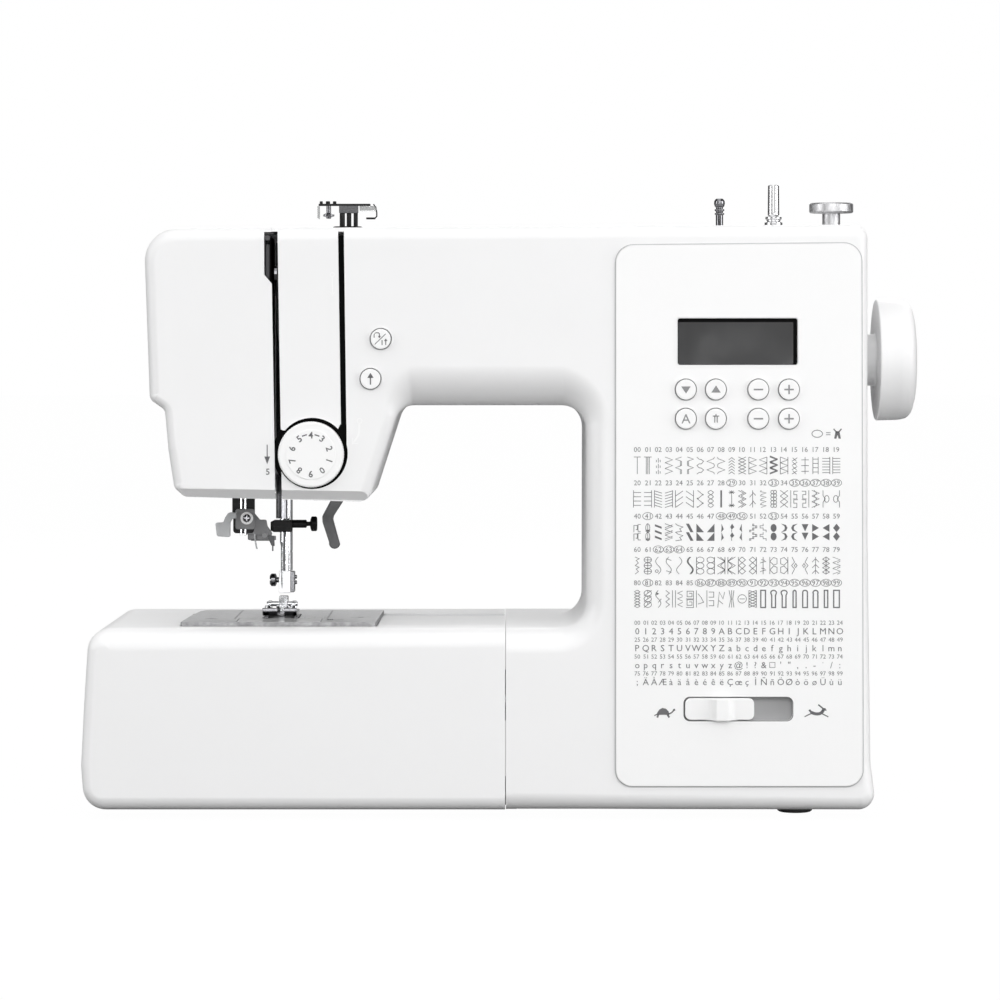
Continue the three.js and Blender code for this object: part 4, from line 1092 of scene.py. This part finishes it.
def build_charts():
    """A hundred numbered stitch marks, 20 to a row, a hundred letters, 25 to a row, and a foot mark."""
    y = PANEL_FRONT - PRINT
    numbers, marks, letters = [], [], []
    for n in range(100):
        row, column = divmod(n, 20)
        x, z = STITCH_X + column * STITCH_PITCH, STITCH_Z - row * STITCH_ROW
        numbers.append(lettering(f"{n:02d}", x, z, 3.5, y))
        if n in ROUNDED_NUMBERS:
            numbers.append(ribbon(oval(x, z, 2.5, 1.75, 20), 0.28, y))
        marks += stitch_mark(x, z - 7.9, y, *STITCHES[n])
        row, column = divmod(n, 25)
        x, z = LETTER_X + column * LETTER_PITCH, LETTER_Z - row * LETTER_ROW
        numbers.append(lettering(f"{n:02d}", x, z, 3.0, y))
        if LETTERS[n] == "□":
            letters += drawing(x, z, y, BLANK_BOX)
        else:
            letters.append(lettering(LETTERS[n], x, z - 4.15, 4.5, y))
    piece("chart_numbers", merged(*numbers), FINE_PRINT)
    piece("chart_stitches", merged(*marks), GREY_PRINT)
    piece("chart_letters", merged(*letters), GREY_PRINT)
    x, z = 153.3, 189.6
    foot = [ribbon(oval(x - 0.1, z, 2.6, 1.75, 24), 0.35, y)] + drawing(x, z, y, *FOOT_CHOICE)
    piece("foot_choice_mark", merged(*foot), GREY_PRINT)


# ---------------------------------------------------------------- tension dial, handwheel

def build_dial():
    """The knurled tension dial, its numbers and its two index marks."""
    rings = 160
    profile = []
    for r, y in ((DIAL_R - 1.1, -84.6), (DIAL_R - 0.35, -84.3), (DIAL_R, -83.6), (DIAL_R, -78.8)):
        row = []
        for k in range(rings):
            ridge = 0.16 if k % 2 and r > DIAL_R - 1 else 0.0
            angle = k * math.tau / rings
            row.append(place("y", DIAL_X + (r - ridge) * math.cos(angle),
                             DIAL_Z + (r - ridge) * math.sin(angle), y))
        profile.append(row)
    face = [(0, -84.9), (9, -84.9), (12.1, -84.9), (12.3, -84.1), (12.9, -84.1), (13.1, -84.6),
            (DIAL_R - 1.1, -84.62), (DIAL_R - 1.1, -80), (0, -80)]
    piece("tension_dial_wheel", merged(lofted(profile), turned("y", face, DIAL_X, DIAL_Z, 96)), KEY_WHITE,
          "tension_dial", ["tension_dial"])
    marks = []
    for digit in range(10):
        angle = 90 + (digit - 4) * 36
        x, z = DIAL_X + 9.6 * math.cos(math.radians(angle)), DIAL_Z + 9.6 * math.sin(math.radians(angle))
        marks.append(lettering(str(digit), x, z, 4.5, -84.95, angle=angle - 90, bold=0.018))
    for a in (108, 72):
        c, s, t = math.cos(math.radians(a)), math.sin(math.radians(a)), 1.25
        marks.append(ribbon([(DIAL_X + 9.9 * c - t * s, DIAL_Z + 9.9 * s + t * c),
                             (DIAL_X + 9.9 * c + t * s, DIAL_Z + 9.9 * s - t * c)], 0.6, -84.95))
    piece("tension_dial_numbers", merged(*marks), GREY_PRINT, "tension_dial")


def build_handwheel():
    """The handwheel with its dished face and finger dimple."""
    wheel = turned("x", [(0, 181.2), (13, 181.2), (13, 187.4), (30.2, 187.6), (30.6, 188.0), (30.3, 199.0),
                         (29.4, 203.0), (26.8, 205.2), (21.5, 206.6), (19.5, 206.0), (17, 205.7),
                         (9, 207.6), (0, 208.2)],
                   SPLIT_Y, SHAFT_Z, 96, 1.4)
    dimple = turned("x", [(0, 202.2), (3.6, 203.2), (5.6, 205.4), (6.4, 212), (0, 212)], SPLIT_Y - 13.5,
                    SHAFT_Z + 10, 32)
    piece("handwheel_body", wheel, WHITE, "handwheel", ["handwheel"], cuts=[dimple])


# ---------------------------------------------------------------- needle, presser and threader

def build_needle_parts():
    """The needle clamp and its thumb screw, and the presser bar."""
    clamp = merged(block(-117.2, -107.4, -27, -17.3, 138.8, 144.7, 0.8, 0.4),
                   block(-118.2, -115.8, -26, -18.5, 139.2, 144.2, 0.8, 0.4))
    piece("needle_clamp_block", clamp, BLACK, "needle_bar", ["needle_clamp"],
          cuts=[block(-119.2, -114, -28, -26.6, 141.6, 142.4)])
    ridges = [(0, -108.4), (2.05, -108.4), (2.05, -100.3), (1.1, -99.9), (1.1, -98.4), (2.6, -98.1),
              (3.75, -97.6), (3.75, -95.3), (3.2, -94.8), (0, -94.8)]
    piece("needle_clamp_thumbscrew", turned("x", ridges, NEEDLE_Y, 142.8, 40, 0.25), BLACK,
          "needle_clamp_screw", ["needle_clamp_screw"],
          cuts=[merged(*[rod("x", 0.35, -97.8, -94.4, NEEDLE_Y + 3.95 * math.cos(k * math.tau / 16),
                             142.8 + 3.95 * math.sin(k * math.tau / 16), 0.05, 6) for k in range(16)])])
    bar = turned("z", [(0, 118.5), (3.0, 118.5), (3.0, 128), (2.75, 128.15), (2.75, 128.5), (3.0, 128.65),
                       (3.0, 199.4), (2.4, 200), (0, 200)], PRESSER_X, PRESSER_Y, 40)
    piece("presser_bar_rod", bar, CHROME, "presser_bar", ["presser_bar"])


def build_presser_foot():
    """The ankle and its clip, the sole, and the fittings on it."""
    piece("presser_foot_ankle", block(-114.6, -108.8, -14.6, -5, 107.3, 118.4, 0.5, 0.3),
          BRIGHT_CHROME, "presser_bar", ["presser_foot_holder"])
    side = merged(block(-109.0, -106.7, -13.4, -6, 107.6, 118.2, 0.6, 0.3),
                  turned("x", [(0, -119.4), (2.2, -119.4), (3.3, -118.6), (3.3, -116.6),
                               (2.2, -116.0), (1.4, -115.9), (1.4, -114.5), (0, -114.5)], -10, 113.8, 32),
                  *[rod("x", 1.0, -106.9, -105.6, -11, z, 0.2, 16) for z in (115.4, 112.6)])
    piece("presser_foot_ankle_clip", side, DARK_CHROME, "presser_bar",
          cuts=[block(-121, -118.7, -13, -7, 113.4, 114.2)])
    sole = prism("x", [(-33, 99.0, 1), (-30.5, 96.9, 1.5), (-4, 96.9, 0.6), (-4, 98.7, 0.4),
                       (-28.6, 98.7, 2), (-32.6, 101.2, 0.5)], -121.9, -104.6, 0.3)
    piece("presser_foot_sole", sole, DARK_CHROME, "presser_foot", ["presser_foot"],
          cuts=[block(-117.4, -107.8, -24.4, -19.6, 90, 105, 1.6, axis="z"),
                prism("z", [(-114.6, -36), (-110.6, -36), (-111.4, -24), (-113.8, -24)], 90, 105)])
    fittings = merged(block(-114.6, -110.2, -13.5, -4.6, 98.2, 105.6, 0.6, 0.3),
                      block(-115.6, -109.2, -20, -16.5, 98.2, 101.4, 0.6, 0.3),
                      block(-120.4, -118.4, -17, -5, 98.2, 103.0, 1, 0.3, "x"),
                      block(-108.0, -106.0, -17, -5, 98.2, 103.0, 1, 0.3, "x"),
                      rod("x", 1.3, -121.0, -105.4, PRESSER_Y, 101.6, 0.2, 24),
                      *[tube([(x + 1.5 * math.cos(t), -23 - 0.02 * t, 100.4 + 1.5 * math.sin(t))
                              for t in [k * 0.5 for k in range(26)]], 0.32, 8) for x in (-119.5, -106.9)])
    piece("presser_foot_fittings", fittings, CHROME, "presser_foot")
    piece("presser_bar_collar", ring_of("z", 3.0, 4.2, 178.8, 186, PRESSER_X, PRESSER_Y), CHROME,
          "presser_bar")


def build_lifter():
    """The lever behind the needle that lifts the presser foot."""
    tip = [(-88.6 + 2.95 * math.cos(math.radians(t)), 130.0 + 2.95 * math.sin(math.radians(t)), 0)
           for t in range(170, 351, 20)]
    path = [(-91.5, 175, 0), (-88.2, 157, 3), (-95.1, 144.0, 3), (-94.9, 141.0, 3), *tip,
            (-89.3, 142.6, 3), (-88.9, 144.4, 3), (-81.4, 156, 4), (-80.5, 175, 0)]
    lever = merged(prism("y", path, 38.2, 41, 0.9, steps=4), rod("y", 3.5, 15, 39, -86, 172, 0.3))
    piece("presser_lifter_lever", lever, MID_GREY, "presser_lifter", ["presser_lifter"])


def build_threader():
    """The needle threader: bracket, rods, slider, finger tab, screw and hook."""
    bracket = merged(block(-136.9, -125.6, -35, -32.6, 147.6, 171, 0.6, 0.4),
                     block(-136.4, -125.8, -35.6, -33, 138.6, 150.8, 1.6, 0.5))
    piece("threader_bracket", bracket, BLACK, "needle_threader", ["needle_threader"])
    rods = merged(*[rod("z", 0.55, 137.6, 168, x, -35.8, 0.1, 16) for x in (-132.4, -130.3)])
    piece("threader_guide_rods", rods, CHROME, "needle_threader")
    plate = merged(block(-135.2, -125.4, -37.0, -35.6, 140.6, 151.0, 1.2, 0.4),
                   prism("y", [(-126.4, 149.5, 1), (-130, 149.5, 0), (-131.2, 138.0, 1),
                               (-127.6, 138.0, 0.3), (-127.6, 134.8, 0.4), (-118.0, 134.8, 0.6),
                               (-116.8, 138.6, 1),
                               (-119.2, 142.2, 1), (-119.8, 145.4, 0.8), (-123.0, 145.4, 1)],
                         -35.4, -32.6, 0.4))
    piece("threader_slider", plate, MID_GREY, "needle_threader")
    tab = prism("y", [(-134.6, 149.2, 0), (-138.6, 149.2, 2), (-140.3, 146.6, 2), (-141.2, 144.2, 0.6),
                      (-145.2, 144.0, 0.8), (-144.4, 137.2, 1.2), (-137.6, 136.8, 1),
                      (-137.6, 144.0, 1.5), (-136.6, 146.0, 1), (-134.6, 146.2, 0)], -38.4, -35.8, 0.5)
    piece("threader_finger_tab", tab, LIGHT_GREY, "needle_threader")
    ring = ring_of("y", 2.0, 3.15, -38.0, -36.8, -129.4, 146.3)
    piece("threader_screw_ring", ring, PANEL_WHITE, "needle_threader")
    head, cross = screw("y", -129.4, 146.3, -36.9, 1.95, -1)
    piece("threader_screw", head, DARK_CHROME, "needle_threader", cuts=cross)
    hook = merged(rod("z", 2.1, 135.2, 138.2, -127, -34, 0.4),
                  prism("z", [(-128.2, -35.4, 0.5), (-115.2, -45.6, 0.3), (-114.2, -44.4, 0.3),
                              (-126.4, -32.6, 0.5)], 135.6, 137.8, 0.3),
                  rod("y", 1.5, -46.2, -44.8, -119.8, 138.0, 0.2, 24))
    tip = merged(prism("y", [(-117.9, 138.4, 0.4), (-115.2, 137.6, 0.4), (-114.9, 132.6, 0.3),
                             (-116.6, 133.0, 0.3), (-118.0, 136.2, 0.4)],
                       -46.0, -44.6, 0.2), rod("z", 0.35, 130.2, 134, -115.9, -45.2, 0.1, 12))
    piece("threader_hook_tip", tip, DARK_GREY, "threader_hook")
    piece("threader_guide_pin", tube([(-125.4, -38.6, 138.4), (-125.0, -38.6, 134.4),
                                      (-124.2, -38.6, 130.8)], 0.4, 10), LIGHT_GREY,
          "needle_threader")
    piece("threader_hook_arm", hook, MID_GREY, "threader_hook", ["threader_hook"])


# ---------------------------------------------------------------- top items

def build_top_items():
    """Spool pin, bobbin winder and winder stop."""
    pin = turned("z", [(0, 262), (1.9, 262), (1.9, 300.2), (2.4, 300.4), (2.5, 301.1), (1.8, 301.5),
                       (1.8, 302), (2.5, 302.4), (2.5, 303.1), (1.8, 303.5), (1.8, 304.1),
                       (2.4, 304.5), (2.8, 306.0), (2.7, 307.4), (1.9, 308.6), (0, 309)],
                 SPOOL_X, TOP_Y, 40, 0.2)
    piece("spool_pin_post", pin, DARK_CHROME, "spool_pin", ["spool_pin"])
    piece("spool_pin_collar", ring_of("z", 2.9, 4.2, 292.0, 293.4, SPOOL_X, TOP_Y), MID_GREY)
    carriage = merged(block(130, 148, 3, 19, 282, 287, 1.5, 0.3, "z"),
                      turned("z", [(0, 286), (4.4, 286), (4.4, 292.2), (3.8, 292.8), (0, 292.8)],
                             WINDER_X, TOP_Y, 40))
    piece("winder_carriage_plate", carriage, MID_GREY, "winder_carriage",
          ["winder_carriage"])
    spindle = turned("z", [(0, 293.1), (4.3, 293.1), (4.6, 293.5), (4.6, 296.4), (3.6, 296.9), (3.6, 297.6),
                           (4.2, 298), (4.2, 299.2), (3.0, 300), (2.85, 315.2), (2.4, 315.7), (0, 315.7)],
                     WINDER_X, TOP_Y, 40, 0.25)
    piece("winder_spindle_tube", spindle, STEEL_LIGHT, "winder_spindle", ["winder_spindle"],
          cuts=[block(137.7, 139.1, 5, 17, 301.5, 317)])
    stop = turned("z", [(0, 292.6), (4.6, 292.6), (4.6, 301.0), (10.8, 301.2), (11.3, 301.8), (11.3, 305.6),
                        (10.7, 306.4), (0, 306.6)], STOP_X, TOP_Y, 64, 0.3)
    piece("winder_stop_disc", stop, STOP_GREY, stands_for=["winder_stop"],
          cuts=[ring_of("z", 6.5, 9.5, 306.1, 308, STOP_X, TOP_Y)])


def build_top_guide():
    """The upper thread guide with its tension discs."""
    y = -14
    prongs = [rod("z", r, 292.4, 303.4, x, y, 0.2, 20)
              for x, r in ((-82.4, 1.35), (-79.0, 1.2), (-75.6, 1.1))]
    knobs = [rod("z", r, 304.6, 306.3, x, y, 0.2, 20)
             for x, r in ((-93.1, 0.8), (-89.7, 1.1), (-86.3, 0.9))]
    post = merged(block(-87.3, -71.9, y - 6, y + 6, 290.8, 293.5, 5.5, 1.0, "z"), *prongs, *knobs,
                  block(-94.4, -68.1, y - 1.5, y + 1.5, 303.9, 305.0, 0.4, 0.15),
                  block(-70.3, -65.6, y - 0.6, y + 0.6, 297.1, 298.1, 0.3, 0.1),
                  tube([(-66.6, y, 304.8), (-65.4, y, 303.2), (-64.9, y, 300.5), (-64.9, y, 298.6),
                        (-65.9, y, 297.6)], 0.35))
    piece("top_guide_post", post, BLACK, stands_for=["top_thread_guide"])
    piece("top_guide_bridge", block(-84.0, -74.3, y - 2, y + 2, 300.2, 304.0, 0.5, 0.3), DARK_GREY)
    studs = merged(rod("z", 1.2, 297.4, 304.0, -89.3, y, 0.2, 24),
                   turned("z", [(0, 299.0), (2.9, 299.2), (2.9, 299.5), (1.2, 300.4),
                                (0, 300.4)], -89.3, y, 32),
                   turned("z", [(0, 298.0), (1.2, 298.0), (2.9, 298.7), (2.9, 299.0),
                                (0, 298.9)], -89.3, y, 32))
    piece("top_guide_tension_discs", studs, DARK_CHROME)
    hooks = merged(block(-95.0, -93.8, y - 1, y + 1, 297.2, 304.0, 0.4, 0.2),
                   block(-73.6, -65.2, y - 1.4, y + 1.4, 301.2, 304.0, 0.5, 0.3))
    piece("top_guide_hooks", hooks, CLEAR)


# ---------------------------------------------------------------- rear and side fittings

def build_rear_fittings():
    """Carry handle, power switch and inlet, cover screws, and a black sheet of painted shade behind the
    vents.
    """
    bail = [(-46, 283, 0), (-46, 248, 9), (106, 248, 9), (106, 283, 0), (96.6, 283, 0), (96.6, 262, 5),
            (-36.6, 262, 5), (-36.6, 283, 0)]
    loop = merged(prism("y", bail, 36.9, 43.9, 2.4, steps=5), rod("x", 3.6, -46, -36.4, 40.4, 284, 0.6),
                  rod("x", 3.6, 96.4, 106, 40.4, 284, 0.6))
    piece("carry_handle_bail", loop, WHITE, "carry_handle", ["carry_handle"])
    rocker = prism("y", [(170, 30.2, 0), (180.2, 30.2, 0.5), (178.9, 40, 8), (182.0, 49.8, 0.5),
                         (170, 49.8, 0)], 8.6, 21.4, 0.4)
    piece("power_switch_rocker", rocker, BLACK, "power_switch", ["power_switch"])
    piece("power_switch_frame", block(178.4, 180.8, 6.2, 23.8, 26.8, 53.2, 2, 0.4, "x"), DARK_GREY,
          cuts=[block(170, 190, 8.1, 21.9, 28.8, 51.2, 1, axis="x")])
    inlet = merged(block(179.6, 181.8, 30, 58, 28, 52, 3, 0.5, "x"),
                   block(160, 180.8, 32.4, 55.6, 30.4, 49.6, 2, 0, "x"))
    piece("power_inlet_cup", inlet, BLACK, stands_for=["power_inlet"],
          cuts=[block(164, 190, 35, 53, 33, 47, 3, axis="x")])
    piece("power_inlet_pins", merged(*[rod("x", 1.3, 163.5, 174, y, 40, 0.3, 20) for y in (40.0, 48.0)]),
          CHROME)
    for i, (x, z) in enumerate(SCREW_PLACES):
        head, cross = screw("y", x, z, 33.0, 3.2, 1)
        piece(f"rear_screw_{i + 1}", head, CHROME, cuts=cross)
    # Black sheet behind the vents: painted shade.
    piece("rear_vent_shade", block(66, 142, 32.2, 33.2, 155, 200), SHADE_BLACK)


# ---------------------------------------------------------------- carried-over CAD nodes

def paint_frame():
    """Materials and softened edges for the CAD pieces that stay in view."""
    finish = {
        "base_tray": LIGHT_GREY, "main_frame": CAST, "bobbin_case": BLACK, "drive_motor": DARK_GREY,
        "timing_belt": RUBBER,
        "upper_shaft": CHROME, "connecting_rod": CAST, "lower_shaft": CHROME, "rotary_hook": CHROME,
        "bobbin": CLEAR,
        "take_up_lever": DARK_CHROME, "needle_bar_frame": CAST, "needle_bar": DARK_CHROME, "needle": CHROME,
        "feed_bar": CAST, "feed_dog": DARK_CHROME,
    }
    for name, material in finish.items():
        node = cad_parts[name]
        node.data.materials.clear()
        node.data.materials.append(material)
        bevel = node.modifiers.new("edge", "BEVEL")
        bevel.width = 0.0002
        bevel.segments = 2
        bevel.limit_method = "ANGLE"


# ---------------------------------------------------------------- floor, light and camera

WORLD_ABOVE, WORLD_BELOW, FLANK_SHADE, FLOOR_BOUNCE = 0.52, 0.12, 0.08, 0.16
FLOOR_GLOW, FLOOR_SHADOW = 1.12, 0.12
# name, place and size in metres, power in watts
LIGHTS = [
    ("top_light", (-0.3, -0.7, 2.2), (2.2, 1.6), 12),
    ("front_light", (0.3, -2.6, 1.15), (2.6, 0.9), 21),
    ("low_front_light", (0.2, -2.3, 0.1), (2.4, 0.16), 9),
    ("right_light", (2.2, -1.0, 0.6), (1.4, 1.2), 26),
    ("left_light", (-2.4, -1.0, 0.7), (1.2, 1.2), 18),
    ("rear_light", (0.4, 2.4, 1.4), (2.0, 1.2), 14),
]


def math_node(tree, operation, first, second=None):
    node = tree.nodes.new("ShaderNodeMath")
    node.operation = operation
    tree.links.new(first, node.inputs[0])
    if second is not None:
        tree.links.new(second, node.inputs[1])
    return node


def floor_material():
    """The pale floor: mostly a white glow to the eye, with a soft share that takes contact shadows."""
    made = bpy.data.materials.new("floor_white")
    made.use_nodes = True
    tree = made.node_tree
    tree.nodes.clear()
    out = tree.nodes.new("ShaderNodeOutputMaterial")
    glow = tree.nodes.new("ShaderNodeEmission")
    glow.inputs["Color"].default_value = (1, 1, 1, 1)
    glow.inputs["Strength"].default_value = FLOOR_GLOW
    dull = tree.nodes.new("ShaderNodeBsdfDiffuse")
    dull.inputs["Color"].default_value = (FLOOR_BOUNCE, FLOOR_BOUNCE, FLOOR_BOUNCE, 1)
    paths = tree.nodes.new("ShaderNodeLightPath")
    share = math_node(tree, "MULTIPLY", paths.outputs["Is Camera Ray"])
    share.inputs[1].default_value = 1 - FLOOR_SHADOW
    mix = tree.nodes.new("ShaderNodeMixShader")
    tree.links.new(share.outputs[0], mix.inputs["Fac"])
    tree.links.new(dull.outputs["BSDF"], mix.inputs[1])
    tree.links.new(glow.outputs["Emission"], mix.inputs[2])
    tree.links.new(mix.outputs["Shader"], out.inputs["Surface"])
    return made


def build_floor():
    bpy.ops.mesh.primitive_plane_add(size=40, location=(0, 0, -0.0002))
    floor = bpy.context.object
    floor.name = "floor"
    floor.data.materials.append(floor_material())


def build_world():
    """White behind everything; what lights the object is dimmer below, and to the sides for reflections."""
    world = bpy.data.worlds.new("studio")
    bpy.context.scene.world = world
    world.use_nodes = True
    tree = world.node_tree
    tree.nodes.clear()
    out = tree.nodes.new("ShaderNodeOutputWorld")
    seen, lit = tree.nodes.new("ShaderNodeBackground"), tree.nodes.new("ShaderNodeBackground")
    seen.inputs["Strength"].default_value = 1.0
    seen.inputs["Color"].default_value = (1, 1, 1, 1)
    lit.inputs["Color"].default_value = (1, 1, 1, 1)
    around, parts = tree.nodes.new("ShaderNodeTexCoord"), tree.nodes.new("ShaderNodeSeparateXYZ")
    tree.links.new(around.outputs["Generated"], parts.inputs["Vector"])
    height = map_range(tree, parts.outputs["Z"], -0.35, 0.35, WORLD_BELOW, WORLD_ABOVE)
    side = math_node(tree, "ABSOLUTE", parts.outputs["X"])
    flank = map_range(tree, side.outputs[0], 0.3, 0.8, 1.0, FLANK_SHADE)
    paths, mix = tree.nodes.new("ShaderNodeLightPath"), tree.nodes.new("ShaderNodeMixShader")
    chosen = tree.nodes.new("ShaderNodeMix")
    chosen.inputs["A"].default_value = 1.0
    tree.links.new(paths.outputs["Is Glossy Ray"], chosen.inputs["Factor"])
    tree.links.new(flank, chosen.inputs["B"])
    product = math_node(tree, "MULTIPLY", height, chosen.outputs["Result"])
    tree.links.new(product.outputs[0], lit.inputs["Strength"])
    tree.links.new(paths.outputs["Is Camera Ray"], mix.inputs["Fac"])
    tree.links.new(lit.outputs["Background"], mix.inputs[1])
    tree.links.new(seen.outputs["Background"], mix.inputs[2])
    tree.links.new(mix.outputs["Shader"], out.inputs["Surface"])


def build_lights():
    """Large soft lights round the object, each turned to its middle."""
    for name, spot, size, power in LIGHTS:
        light = bpy.data.lights.new(name, "AREA")
        light.shape = "RECTANGLE"
        light.size, light.size_y = size
        light.energy = power
        lamp = bpy.data.objects.new(name, light)
        bpy.context.scene.collection.objects.link(lamp)
        lamp.location = spot
        lamp.rotation_euler = (Vector((0, 0, 0.15)) - Vector(spot)).to_track_quat("-Z", "Y").to_euler()


def build_camera():
    """A long lens level with the arm, shifted down to frame the whole machine."""
    camera = bpy.data.cameras.new("camera")
    camera.lens = 139.6
    camera.sensor_width = 36
    camera.shift_y = -0.145
    camera.clip_end = 100
    holder = bpy.data.objects.new("camera", camera)
    bpy.context.scene.collection.objects.link(holder)
    holder.location = (-0.0023, -1.9803, 0.2282)
    holder.rotation_euler = (math.radians(90), 0, 0)
    bpy.context.scene.camera = holder
    bpy.context.scene.view_settings.view_transform = "Standard"


build_casing()
build_slot_lining()
build_arrows()
build_table()
build_free_arm()
build_feet()
build_needle_plate()
build_panel()
build_display()
build_keys()
build_slider()
build_charts()
build_dial()
build_handwheel()
build_needle_parts()
build_presser_foot()
build_lifter()
build_threader()
build_top_items()
build_top_guide()
build_rear_fittings()
paint_frame()
build_floor()
build_world()
build_lights()
build_camera()
